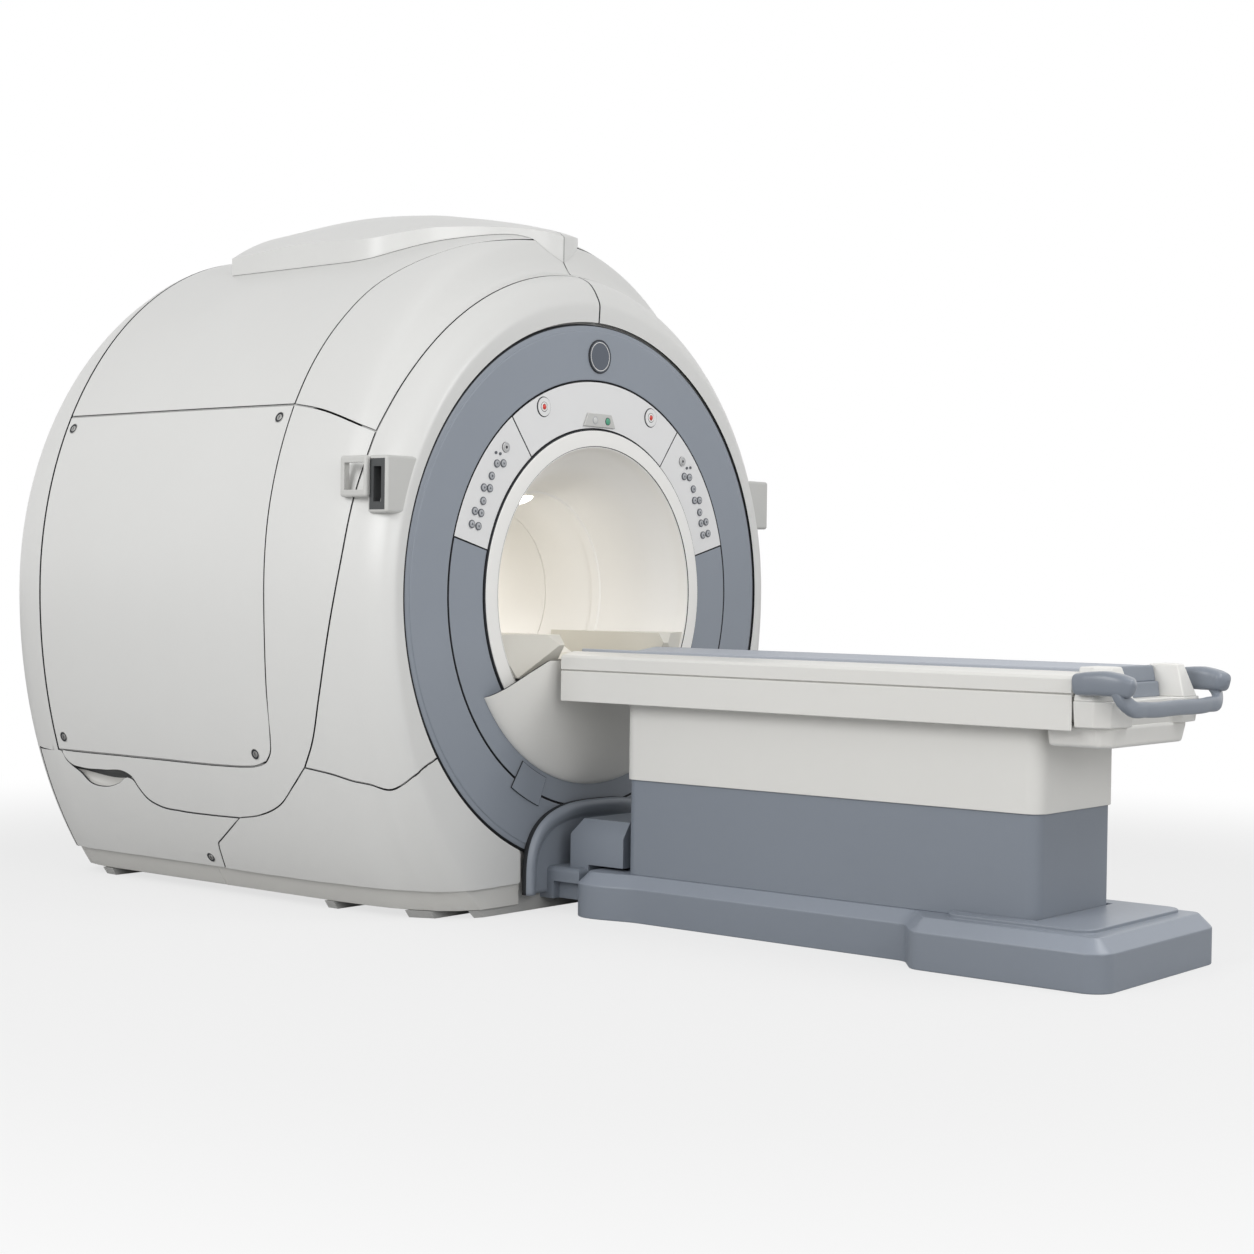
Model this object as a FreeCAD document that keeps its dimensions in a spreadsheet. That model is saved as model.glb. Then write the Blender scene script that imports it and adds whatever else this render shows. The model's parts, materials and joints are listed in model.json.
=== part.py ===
import FreeCAD, Part
import math
import os
import Sketcher

# A cylindrical MRI scanner with its patient table docked.
# Millimetres, +Z up, floor at Z = 0, the bore runs along Y and the table reaches out to -Y.
# While the pieces are drawn, Y = 0 is the face of the blue front ring. Each finished piece is
# then moved along Y by frame_shift, which puts the origin under the middle of the whole object.

App = FreeCAD
V = App.Vector
os.makedirs("parts", exist_ok=True)
doc = App.newDocument("scanner")
sheet = doc.addObject("Spreadsheet::Sheet", "Sizes")

# ---------------------------------------------------------------- driving dimensions

DIMENSIONS = {
    # drum covers
    "bore_height": 1065, "gantry_half_width": 1055, "gantry_top_rise": 1275,
    "gantry_undercut": 425, "gantry_depth": 1950, "cover_wall": 6, "cover_gap": 4,
    "skirt_height": 96, "plinth_clearance": 28, "plinth_inset": 12, "plinth_wall": 8,
    "plinth_height": 90, "seat_play": 0.3, "frame_bar": 40, "frame_floor_bar": 60,
    "frame_plate": 12, "rear_seam_inset": 230, "lower_rear_inset": 90,
    "plinth_split_depth": 1050,
    # front face
    "ring_radius": 930, "ring_bevel": 8, "face_thickness": 24, "face_gap": 3,
    "panel_radius": 733, "entry_radius": 571, "entry_inner_radius": 505, "entry_stand": 14,
    "display_half_angle": 37, "keypad_bottom_angle": 75.5,
    "badge_radius": 58, "badge_rise": 819, "badge_thickness": 5,
    "key_radius": 13.5, "key_proud": 4, "mark_radius": 5,
    "button_offset": 285, "button_rise": 627, "button_radius": 15, "button_length": 16,
    "button_proud": 6, "button_fit": 0.3, "button_collar_radius": 33,
    "button_collar_height": 3, "light_button_angle": 44.3, "light_button_circle": 673,
    "light_button_radius": 17,
    "lamp_half_width": 84, "lamp_top_half_width": 62, "lamp_bottom_rise": 576,
    "lamp_top_rise": 622, "lamp_thickness": 8,
    # bore
    "bore_radius": 300, "joint_radius": 355, "joint_depth": 300,
    "throat_depth": 500, "liner_rear_inset": 500, "rear_flare_radius": 470,
    "rf_outer_radius": 336, "gradient_outer_radius": 440, "coil_front": 545,
    "coil_rear_inset": 545, "vessel_outer_radius": 920, "vessel_front": 205,
    "vessel_rear_inset": 235, "vessel_bevel": 60,
    "stand_half_width": 520, "stand_top": 420, "stand_length": 140, "stand_front": 340,
    "stand_rear_inset": 510, "stand_beam_bottom": 65, "stand_beam_height": 60,
    "stand_beam_width": 120, "stand_beam_offset": 300,
    "bridge_top_drop": 135, "bridge_rear_inset": 510, "bridge_nose": 67, "bridge_tip": 90,
    "bridge_tip_drop": 169, "bridge_heel": 20, "bridge_heel_drop": 280,
    "bridge_prow_half_width": 290, "bridge_root_half_width": 460, "ledge_end": 440,
    "channel_half_width": 265, "bore_lamp_front": 322, "bore_lamp_length": 80,
    "bore_lamp_angle": 18, "bore_lamp_thickness": 6,
    # apron, dock and hatch
    "apron_radius": 655, "apron_bulge": 100, "apron_wall": 6, "apron_top_drop": 221,
    "apron_shoulder_half_width": 330, "apron_elbow_half_width": 500,
    "apron_elbow_drop": 309, "apron_corner_half_width": 560, "apron_corner_drop": 339,
    "collar_half_width": 365, "collar_top_drop": 705, "collar_band": 40, "collar_stand": 36,
    "collar_round": 205, "collar_foot": 60, "dock_top_drop": 755, "dock_half_width": 200,
    "dock_front": 70, "dock_rear": 300, "dock_shelf": 160, "dock_lip_drop": 807,
    "dock_cap_half_width": 165, "dock_cap_front": 100, "dock_low_top": 148,
    "dock_low_bottom": 40, "dock_low_half_width": 247, "dock_low_front": 150,
    "dock_low_round": 18, "notch_back": 36, "notch_top": 100, "notch_depth": 32,
    "hatch_inner": 668, "hatch_outer": 771, "hatch_thickness": 5, "hatch_sweep": 11.6,
    "hatch_angle": 28.0,
    # top turret and side handles
    "turret_half_width": 450, "turret_crown": 1381, "turret_rear_inset": 550, "turret_wall": 6,
    "grab_half_span": 1008, "grab_bottom": 250, "grab_top": 430, "grab_front": 2,
    "grab_back": 90, "slot_front": 28, "slot_back": 62,
    "slot_bottom": 285, "slot_top": 395, "loop_back": 195, "loop_bottom": 300,
    "loop_top": 430, "loop_bar": 22, "screw_radius": 12,
    # patient table
    "table_front": 108, "table_length": 1882, "deck_half_width": 305, "deck_depth": 136,
    "seam_depth": 33, "deck_edge_rise": 15, "deck_inner_edge_rise": 28, "deck_wall": 6,
    "cradle_half_width": 208, "cradle_top_rise": 36, "cradle_dip": 16, "cradle_round": 1208,
    "cradle_rise": 0.5, "cradle_bevel": 14, "cradle_front": 100, "cradle_length": 1878,
    "tray_drop": 217, "tray_half_width": 212,
    "beam_half_width": 170, "beam_depth": 121, "shroud_half_width": 238,
    "shroud_front": 325, "shroud_length": 1535, "shroud_corner": 52, "shroud_wall": 5,
    "shroud_fit": 3, "shroud_cap": 6, "lower_shroud_top": 487, "shroud_line": 462,
    "column_half_width": 110, "column_half_length": 160, "column_wall": 12,
    "column_top": 480, "flange_half_width": 200, "flange_half_length": 260,
    "flange_thickness": 12, "ram_fit": 0.4, "ram_bottom": 250, "column_centre": 1092,
    "base_top": 150, "base_wall": 8, "base_gap": 0.3, "base_neck_half_width": 272,
    "base_bulge_half_width": 305, "base_bulge_end": 270, "base_waist": 400,
    "base_foot_half_width": 372, "base_foot_start": 1440, "base_foot_shoulder": 1520,
    "base_end": 2135, "base_corner": 70, "base_round": 55, "base_nose_round": 84,
    "base_sway": 220, "base_bevel": 40, "plateau_start": 1580, "plateau_end": 2055,
    "plateau_half_width": 300, "plateau_rise": 12, "cap_end": 2112,
    "cap_bottom_drop": 128, "cap_top_rise": 44, "cheek_outer": 278,
    "cheek_inner": 150, "cap_recess": 2066, "cap_floor_drop": 51, "cap_wall_top_rise": 36,
    "grip_half_span": 336, "grip_end": 2168, "grip_bottom_drop": 36,
    "grip_top_rise": 30, "bar_bottom_drop": 96, "bar_top_drop": 56, "bar_back": 2146,
    "bar_front": 2180, "riser_half_span": 318, "grip_round": 18,
    "tray_box_half_width": 262, "tray_box_bottom_drop": 186, "tray_box_start": 1885,
    "tray_box_end": 2085, "tray_box_corner": 16, "tray_lug_half_width": 150,
}

# The drum's outer skin: along Y, how far it lies inside the full width, the full top rise
# and the full bottom reach. The front stations are depths behind the ring's face; the tail
# stations are distances in front of the rear face.
FRONT_STATIONS = {
    "lip": (0, 93, 285, 290), "edge": (15, 66, 245, 225), "brow": (50, 45, 200, 160),
    "crest": (100, 31, 175, 105), "crease": (137, 25, 163, 90), "rise": (165, 21, 125, 70),
    "shoulder": (210, 15, 40, 40), "slope": (260, 9, 17, 25), "settle": (330, 5, 8, 12),
    "drum": (500, 0, 0, 0),
}
TAIL_STATIONS = {
    "tail_start": (230, 0, 0, 0), "tail_bend": (150, 7, 25, 10), "tail_turn": (90, 20, 60, 22),
    "tail_round": (40, 48, 112, 52), "tail_end": (0, 105, 180, 110),
}


def fill_sheet():
    """One row per dimension: its name, and its value in a cell with that alias."""
    rows = dict(DIMENSIONS)
    for stations in (FRONT_STATIONS, TAIL_STATIONS):
        for word, (depth, side, top, bottom) in stations.items():
            rows[word + "_depth"] = depth
            rows[word + "_side_inset"] = side
            rows[word + "_top_inset"] = top
            rows[word + "_bottom_inset"] = bottom
    for row, (alias, value) in enumerate(rows.items(), start=1):
        sheet.set(f"A{row}", alias)
        sheet.set(f"B{row}", str(value))
        sheet.setAlias(f"B{row}", alias)
    doc.recompute()


class Size:
    """A length with the sheet expression that gives it, so that both stay together."""

    def __init__(self, value, text):
        self.value = float(value)
        self.text = text

    def __add__(self, other):
        other = size(other)
        return Size(self.value + other.value, f"({self.text} + {other.text})")

    def __sub__(self, other):
        other = size(other)
        return Size(self.value - other.value, f"({self.text} - {other.text})")

    def __mul__(self, other):
        other = size(other)
        return Size(self.value * other.value, f"({self.text} * {other.text})")

    def __radd__(self, other):
        return size(other) + self

    def __rsub__(self, other):
        return size(other) - self

    def __rmul__(self, other):
        return size(other) * self

    def __neg__(self):
        return Size(-self.value, f"(-{self.text})")

    def __float__(self):
        return self.value


def size(value):
    """A Size from a Size or a plain number."""
    return value if isinstance(value, Size) else Size(value, repr(float(value)))


class Sheet:
    """Reads the sheet: S.bore_height is the Size of that cell."""

    def __getattr__(self, alias):
        return Size(sheet.get(alias), f"Sizes.{alias}")


fill_sheet()
S = Sheet()
centre_z = S.bore_height
bottom_reach = S.bore_height + S.gantry_undercut
tray_floor = S.bore_height - S.tray_drop
deck_bottom = tray_floor - S.deck_depth
deck_seam = tray_floor - S.seam_depth
beam_bottom = tray_floor - S.beam_depth
cap_top = tray_floor + S.cap_top_rise
cap_wall_top = tray_floor + S.cap_wall_top_rise
cradle_top = tray_floor + S.cradle_top_rise
collar_top = S.bore_height - S.collar_top_drop
dock_top = S.bore_height - S.dock_top_drop
dock_lip = S.bore_height - S.dock_lip_drop
deck_edge = tray_floor + S.deck_edge_rise
deck_inner_edge = tray_floor + S.deck_inner_edge_rise
grip_top = tray_floor + S.grip_top_rise
bar_bottom = tray_floor - S.bar_bottom_drop
bar_top = tray_floor - S.bar_top_drop
cap_bottom = tray_floor - S.cap_bottom_drop
cap_floor = tray_floor - S.cap_floor_drop
grip_bottom = tray_floor - S.grip_bottom_drop
tray_box_bottom = tray_floor - S.tray_box_bottom_drop
apron_top = centre_z - S.apron_top_drop
apron_elbow = centre_z - S.apron_elbow_drop
apron_corner = centre_z - S.apron_corner_drop
frame_shift = 0.5 * (S.gantry_depth - S.bar_front)
home = V(0, -float(frame_shift), 0)
pieces = []


# ---------------------------------------------------------------- helpers

def finish(item, label, angle=0.0):
    """Names a piece and moves it home, turned about the bore's axis by angle degrees."""
    item.Label = label
    turn = App.Rotation(V(0, 1, 0), angle)
    pivot = V(0, 0, float(centre_z))
    item.Placement = App.Placement(home, turn, pivot)
    item.setExpression("Placement.Base.y", f"-{frame_shift.text}")
    pieces.append(item)
    return item


def free_piece(label, shape):
    """A piece whose sculpted shape no primitive or sketch feature gives."""
    item = doc.addObject("Part::Feature", label)
    item.Shape = shape
    return finish(item, label)


def origin_plane(body, role):
    return [plane for plane in body.Origin.OriginFeatures if plane.Role == role][0]


def outline(body, name, role, corners, offset=0, axis_height=None):
    """A closed sketch on an origin plane; two sheet expressions place each corner."""
    sketch = body.newObject("Sketcher::SketchObject", name)
    sketch.AttachmentSupport = [(origin_plane(body, role), "")]
    sketch.MapMode = "FlatFace"
    if offset:
        sketch.AttachmentOffset = App.Placement(V(0, 0, float(offset)), App.Rotation())
        sketch.setExpression("AttachmentOffset.Base.z", size(offset).text)
    points = [V(float(x), float(y), 0) for x, y in corners]
    count = len(points)
    for index in range(count):
        sketch.addGeometry(Part.LineSegment(points[index], points[(index + 1) % count]), False)
    for index in range(count):
        sketch.addConstraint(Sketcher.Constraint("Coincident", index, 2, (index + 1) % count, 1))
    for index, (x, y) in enumerate(corners):
        for kind, coordinate in (("DistanceX", size(x)), ("DistanceY", size(y))):
            made = sketch.addConstraint(
                Sketcher.Constraint(kind, -1, 1, index, 1, coordinate.value))
            sketch.setExpression(f"Constraints[{made}]", coordinate.text)
    if axis_height is not None:
        start = V(0, float(axis_height), 0)
        line = sketch.addGeometry(Part.LineSegment(start, start + V(100, 0, 0)), True)
        sketch.addConstraint(Sketcher.Constraint("Horizontal", line))
        sketch.addConstraint(Sketcher.Constraint("DistanceX", -1, 1, line, 1, 0.0))
        sketch.addConstraint(Sketcher.Constraint("DistanceX", line, 1, line, 2, 100.0))
        made = sketch.addConstraint(
            Sketcher.Constraint("DistanceY", -1, 1, line, 1, float(axis_height)))
        sketch.setExpression(f"Constraints[{made}]", axis_height.text)
    return sketch


def discs(body, name, role, circles, offset=0):
    """A sketch of (x, y, radius) circles that follow the sheet."""
    sketch = body.newObject("Sketcher::SketchObject", name)
    sketch.AttachmentSupport = [(origin_plane(body, role), "")]
    sketch.MapMode = "FlatFace"
    if offset:
        sketch.AttachmentOffset = App.Placement(V(0, 0, float(offset)), App.Rotation())
        sketch.setExpression("AttachmentOffset.Base.z", size(offset).text)
    for index, (x, y, radius) in enumerate(circles):
        ring = Part.Circle(V(float(x), float(y), 0), V(0, 0, 1), float(radius))
        sketch.addGeometry(ring, False)
        for kind, coordinate in (("DistanceX", size(x)), ("DistanceY", size(y))):
            made = sketch.addConstraint(
                Sketcher.Constraint(kind, -1, 1, index, 3, coordinate.value))
            sketch.setExpression(f"Constraints[{made}]", coordinate.text)
        made = sketch.addConstraint(Sketcher.Constraint("Radius", index, float(radius)))
        sketch.setExpression(f"Constraints[{made}]", size(radius).text)
    return sketch


def feature(body, kind, name, sketch, **settings):
    """A sketch-based feature; Size settings are bound, the others are set as they are."""
    made = body.newObject(kind, name)
    made.Profile = sketch
    for key, value in settings.items():
        if isinstance(value, Size):
            setattr(made, key, value.value)
            made.setExpression(key, value.text)
        else:
            setattr(made, key, value)
    sketch.Visibility = False
    return made


def new_body(label):
    return doc.addObject("PartDesign::Body", label)


def dress(body, kind, name, base, chosen, reach):
    """A fillet or chamfer on the base's edges for which chosen(edge) is true."""
    doc.recompute()
    edges = base.Shape.Edges
    names = [f"Edge{number}" for number, edge in enumerate(edges, 1) if chosen(edge)]
    made = body.newObject(kind, name)
    made.Base = (base, names)
    key = "Radius" if kind.endswith("Fillet") else "Size"
    setattr(made, key, float(reach))
    made.setExpression(key, size(reach).text)
    return made


def upright(edge):
    """True for a straight vertical edge."""
    return abs(edge.BoundBox.ZLength - edge.Length) < 1e-3 and edge.Length > 1


def turned(label, profile, sweep=360.0, angle=0.0, side=1):
    """A body turned about the bore's axis from a (depth, radius) profile.

    The sweep is centred on the top for side 1 and on the bottom for side -1.
    """
    body = new_body(label)
    corners = [(depth, centre_z + side * size(radius)) for depth, radius in profile]
    sketch = outline(body, label + "_section", "YZ_Plane", corners, axis_height=centre_z)
    turn = body.newObject("PartDesign::Revolution", label + "_turn")
    turn.Profile = sketch
    turn.ReferenceAxis = (sketch, ["Axis0"])
    turn.Midplane = True
    if isinstance(sweep, Size):
        turn.Angle = sweep.value
        turn.setExpression("Angle", sweep.text)
    else:
        turn.Angle = sweep
    sketch.Visibility = False
    return finish(body, label, angle)


def both_sides(right):
    """A closed outline, mirror-symmetric about the middle, from its right-hand corners."""
    left = [(-size(x), y) for x, y in reversed(right) if float(x) != 0]
    return list(right) + left


def front_pad(body, name, sketch_or_corners, near, far):
    """A pad between two depths from an outline in the front view (X, Z)."""
    sketch = sketch_or_corners
    if isinstance(sketch, list):
        sketch = outline(body, name + "_outline", "XZ_Plane", sketch, offset=-size(far))
    return feature(body, "PartDesign::Pad", name, sketch, Length=size(far) - size(near))


def front_pocket(body, name, sketch_or_corners, near, far):
    """The same for a hollow."""
    sketch = sketch_or_corners
    if isinstance(sketch, list):
        sketch = outline(body, name + "_outline", "XZ_Plane", sketch, offset=-size(near))
    return feature(body, "PartDesign::Pocket", name, sketch, Length=size(far) - size(near))


def plan_pad(body, name, corners, bottom, top):
    """A pad between two heights from an outline seen from above (X, Y)."""
    sketch = outline(body, name + "_outline", "XY_Plane", corners, offset=bottom)
    return feature(body, "PartDesign::Pad", name, sketch, Length=size(top) - size(bottom))


def plan_pocket(body, name, corners, bottom, top):
    """The same for a hollow."""
    sketch = outline(body, name + "_outline", "XY_Plane", corners, offset=top)
    return feature(body, "PartDesign::Pocket", name, sketch, Length=size(top) - size(bottom))


def oblong(half_width, front, rear):
    """A rectangle seen from above, symmetric about the middle."""
    return [(half_width, rear), (half_width, front), (-half_width, front), (-half_width, rear)]


def bind(item, key, value):
    setattr_path = {"Placement.Base.x": "x", "Placement.Base.y": "y", "Placement.Base.z": "z"}
    if key in setattr_path:
        base = item.Placement.Base
        setattr(base, setattr_path[key], float(value))
        item.Placement = App.Placement(base, item.Placement.Rotation)
    else:
        setattr(item, key, float(value))
    item.setExpression(key, size(value).text)


def block(name, x, y, z):
    """A box between pairs of coordinates."""
    box = doc.addObject("Part::Box", name)
    for key, pair in (("Length", x), ("Width", y), ("Height", z)):
        bind(box, key, size(pair[1]) - size(pair[0]))
    for key, pair in (("x", x), ("y", y), ("z", z)):
        bind(box, "Placement.Base." + key, size(pair[0]))
    return box


def fused(label, members):
    joined = doc.addObject("Part::MultiFuse", label)
    joined.Shapes = members
    joined.Refine = True
    return joined


def carved(label, base, tool):
    left = doc.addObject("Part::Cut", label)
    left.Base = base
    left.Tool = tool
    left.Refine = True
    return left


def softened(label, base, radius, chosen):
    """Rounds the base's edges for which chosen(edge) is true."""
    doc.recompute()
    made = doc.addObject("Part::Fillet", label)
    made.Base = base
    numbers = [number for number, edge in enumerate(base.Shape.Edges, 1) if chosen(edge)]
    made.Edges = [(number, float(radius), float(radius)) for number in numbers]
    return made


def mirrored(shape):
    return shape.mirror(V(0, 0, 0), V(1, 0, 0))


def solid_of(shape):
    """The single solid in a boolean's result."""
    solids = shape.Solids
    assert len(solids) == 1, f"expected one solid, found {len(solids)}"
    return solids[0]


def slab(x, y, z):
    """A plain box between pairs of plain coordinates, for carving sculpted shapes."""
    corner = V(x[0], y[0], z[0])
    return Part.makeBox(x[1] - x[0], y[1] - y[0], z[1] - z[0], corner)


# ---------------------------------------------------------------- the drum's skin

def stations(inset, front, rear):
    """(depth, half width, top rise, bottom reach) along the drum, moved inwards by inset."""
    rows = []
    for word in FRONT_STATIONS:
        rows.append((word, float(getattr(S, word + "_depth"))))
    for word in TAIL_STATIONS:
        rows.append((word, float(S.gantry_depth - getattr(S, word + "_depth"))))
    made = []
    for word, depth in rows:
        width = float(S.gantry_half_width - getattr(S, word + "_side_inset")) - inset
        top = float(S.gantry_top_rise - getattr(S, word + "_top_inset")) - inset
        bottom = float(bottom_reach - getattr(S, word + "_bottom_inset")) - inset
        made.append((min(max(depth, front), rear), width, top, bottom))
    clean = []
    for row in made:
        if clean and row[0] - clean[-1][0] < 1:
            clean[-1] = row if row[0] < float(S.gantry_depth) / 2 else clean[-1]
        else:
            clean.append(row)
    return clean


def section(depth, width, top, bottom, floor):
    """Egg outline across the bore: half ellipses of one width, cut flat at the floor."""
    drop = float(centre_z) - floor
    low = math.asin(min(drop / bottom, 1.0))
    quarters = [(-low, 0.0, bottom), (0.0, math.pi / 2, top),
                (math.pi / 2, math.pi, top), (math.pi, math.pi + low, bottom)]
    edges = []
    for start, end, rise in quarters:
        middle = 0.5 * (start + end)
        spots = [V(math.cos(angle), 0, math.sin(angle)) for angle in (start, middle, end)]
        arc = Part.Arc(*spots).toShape()
        stretch = App.Matrix()
        stretch.A11 = width
        stretch.A33 = rise
        stretch.A24 = depth
        stretch.A34 = float(centre_z)
        edges.append(arc.transformGeometry(stretch).Edges[0])
    first = edges[0].valueAt(edges[0].FirstParameter)
    last = edges[-1].valueAt(edges[-1].LastParameter)
    edges.append(Part.makeLine(last, first))
    return Part.Wire(edges)


def drum(inset, front, rear, floor):
    """The closed form of the covers, moved inwards by inset, from front to rear."""
    wires = [section(*row, floor) for row in stations(inset, front, rear)]
    return Part.makeLoft(wires, True, True)


depth_full = float(S.gantry_depth)
bore_z = float(centre_z)
wall = float(S.cover_wall)
play = float(S.seat_play)
half_gap = 0.5 * float(S.cover_gap)
skirt = float(S.skirt_height)
skin = drum(0, 0, depth_full, skirt)
shell = skin.cut(drum(wall, wall, depth_full - wall, skirt - 50))


def half_width(depth, rise, inset=0.0):
    """Half width of the drum at a depth and a height above the bore's centre."""
    rows = stations(inset, 0, depth_full)
    for near, far in zip(rows, rows[1:]):
        if near[0] <= depth <= far[0]:
            share = (depth - near[0]) / (far[0] - near[0])
            width, top, bottom = [a + (b - a) * share for a, b in zip(near[1:], far[1:])]
            reach = top if rise > 0 else bottom
            return width * math.sqrt(max(0.0, 1 - (rise / reach) ** 2))
    return 0.0


# ---------------------------------------------------------------- cover seams

# Each seam is a curve in the side view: depth behind the ring's face, height above the
# bore's centre. Heights are shares of the drum's height, so they follow it.
tall = float(S.gantry_top_rise) / 1275
deep = float(bottom_reach) / 1490
rear_seam = depth_full - float(S.rear_seam_inset)
rear_low_seam = depth_full - float(S.lower_rear_inset)


def stretched(depth):
    """A depth along the drum. Front details keep their depth and rear ones their distance
    from the rear face; the stretch between them takes up a change of the drum's depth."""
    change = depth_full - 1950
    return depth + change * min(max((depth - 600) / 600, 0.0), 1.0)


past_rear_seam = 1951 - float(S.rear_seam_inset)

SEAMS = {
    "front_edge": [(96, 1300), (100, 1090), (120, 760), (130, 660), (140, 560), (150, 420),
                   (160, 310), (180, 100), (220, -90), (290, -340), (350, -490), (403, -572)],
    "vee": [(403, -568), (320, -584), (220, -602), (130, -620), (50, -610), (-8, -532),
            (-60, -440)],
    "shoulder_foot": [(523, 612), (390, 590), (250, 550), (146, 512)],
    "arch": [(180, 1345), (210, 1235), (300, 1178), (390, 1120), (460, 1040), (500, 900),
             (517, 760), (522, 612)],
    "panel_front": [(522, 612), (522, 300), (520, -200), (528, -320), (541, -470),
                    (556, -530), (585, -562), (640, -580), (720, -588), (800, -590)],
    "panel_foot": [(798, -590), (past_rear_seam, -590)],
    "panel_head": [(521, 615), (past_rear_seam, 615)],
    "side_foot": [(401, -570), (470, -630), (570, -708), (690, -752), (800, -770),
                  (960, -772), (1110, -770), (1220, -760), (1275, -738), (1308, -700),
                  (1322, -664), (1350, -650)],
    "scoop_line": [(1348, -650), (1620, -650)],
    "side_heel": [(1618, -650), (1665, -640), (1692, -618), (1700, -588)],
    "diagonal": [(802, -770), (880, -812), (945, -852), (970, -905), (985, -985),
                 (1015, -1030), (1040, -1100)],
}
SCOOP = [(1344, -651), (1626, -651), (1610, -688), (1500, -704), (1410, -684), (1356, -664)]


def placed(point):
    """A seam point in millimetres above the floor."""
    depth, rise = point
    return stretched(depth), bore_z + rise * (tall if rise > 0 else deep)


def smooth_edge(points):
    corners = [V(0, y, z) for y, z in points]
    if len(corners) == 2:
        return Part.makeLine(*corners)
    curve = Part.BSplineCurve()
    curve.interpolate(corners)
    return curve.toShape()


def ribbon(seam):
    """The thin slot that a seam leaves through the left-hand covers."""
    points = [placed(point) for point in seam]
    sides = []
    for side in (half_gap, -half_gap):
        moved = []
        for index, (y, z) in enumerate(points):
            before = points[max(index - 1, 0)]
            after = points[min(index + 1, len(points) - 1)]
            dy, dz = after[0] - before[0], after[1] - before[1]
            length = math.hypot(dy, dz)
            moved.append((y - side * dz / length, z + side * dy / length))
        sides.append(moved)
    near, far = sides
    edges = [smooth_edge(near), smooth_edge([near[-1], far[-1]]),
             smooth_edge(far[::-1]), smooth_edge([far[0], near[0]])]
    face = Part.Face(Part.Wire(edges))
    face.translate(V(-1400, 0, 0))
    return face.extrude(V(1400, 0, 0))


def side_prism(points):
    """A polygon of the side view, reaching from the middle out to the left."""
    corners = [V(-1400, *placed(point)) for point in points]
    face = Part.Face(Part.makePolygon(corners + corners[:1]))
    return face.extrude(V(1400, 0, 0))


def bore_rod(radius, near, far):
    return Part.makeCylinder(radius, far - near, V(0, near, bore_z), V(0, 1, 0))


SCREWS = [(1680, 570), (574, 570), (1670, -540), (632, -540), (1042, -932)]


def screw_rod(spot, radius):
    y, z = placed(spot)
    return Part.makeCylinder(radius, 1400, V(0, y, z), V(-1, 0, 0))


panel_floor = bore_z - 590 * deep
collar_side = float(S.collar_half_width + S.face_gap)
rear_zone = slab((-1400, 1400), (rear_seam - half_gap, 2500), (panel_floor - half_gap, 3000))
rear_low_zone = slab((-1400, 1400), (rear_low_seam - half_gap, 2500), (-100, 3000))
left = shell.common(slab((-1400, -half_gap), (-50, 2500), (0, 3000)))
tools = [ribbon(seam) for seam in SEAMS.values()]
tools.append(side_prism(SCOOP))
tools.append(rear_zone.fuse(rear_low_zone))
tools.append(bore_rod(float(S.ring_radius) + 1.5, -100, 90))
tools.append(slab((-collar_side, 0), (-50, 110), (0, float(collar_top) + 3)))
for spot in SCREWS:
    tools.append(screw_rod(spot, float(S.screw_radius) + play))
left_covers = left
for tool in tools:
    left_covers = left_covers.cut(tool)
COVERS = {
    "front_cover": (90, 0), "shoulder_cover": (330, 800), "top_cover": (1100, 900),
    "access_panel": (1100, 0), "side_frame": (440, 0), "lower_rear_cover": (1250, -860),
    "lower_front_cover": (400, -800),
}
for label, (depth, rise) in COVERS.items():
    y, z = placed((depth, rise))
    x = -half_width(y, z - bore_z, wall / 2)
    found = [solid for solid in left_covers.Solids if solid.isInside(V(x, y, z), 1.5, True)]
    assert len(found) == 1, f"{label}: {len(found)} solids, {len(left_covers.Solids)} in all"
    free_piece(label + "_left", found[0])
    free_piece(label + "_right", mirrored(found[0]))

rear_opening = bore_rod(float(S.rear_flare_radius) - 8, depth_full - 100, depth_full + 100)
rear_part = shell.common(
    slab((-1400, 1400), (rear_seam + half_gap, 2500), (panel_floor + half_gap, 3000)).fuse(
        slab((-1400, 1400), (rear_low_seam + half_gap, 2500), (0, 3000))))
free_piece("rear_cover", solid_of(rear_part.cut(rear_opening)))

screw_shapes = []
for spot in SCREWS:
    screw = solid_of(shell.common(screw_rod(spot, float(S.screw_radius))))
    screw_shapes += [screw, mirrored(screw)]
free_piece("cover_screws", Part.makeCompound(screw_shapes))

# ---------------------------------------------------------------- plinth under the covers

lift_off = float(S.plinth_clearance)
plinth_top = lift_off + float(S.plinth_height)
inset = float(S.plinth_inset)
plinth_back = inset + float(S.plinth_wall)
plinth = drum(inset, inset, depth_full - inset, lift_off).cut(
    drum(plinth_back, plinth_back, depth_full - plinth_back, lift_off - 20))
plinth = plinth.common(slab((-1400, 1400), (-50, 2500), (lift_off, plinth_top)))
plinth = plinth.cut(slab((-collar_side, collar_side), (-50, 300), (0, 400)))
split = float(S.plinth_split_depth)
rear_plinth = plinth.common(slab((-1400, 1400), (split + 1, 2500), (0, 400)))
free_piece("plinth_rear", solid_of(rear_plinth))
front_plinth = solid_of(plinth.common(slab((-1400, 0), (-50, split - 1), (0, 400))))
free_piece("plinth_front_left", front_plinth)
free_piece("plinth_front_right", mirrored(front_plinth))

# ---------------------------------------------------------------- hidden frame and magnet

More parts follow.
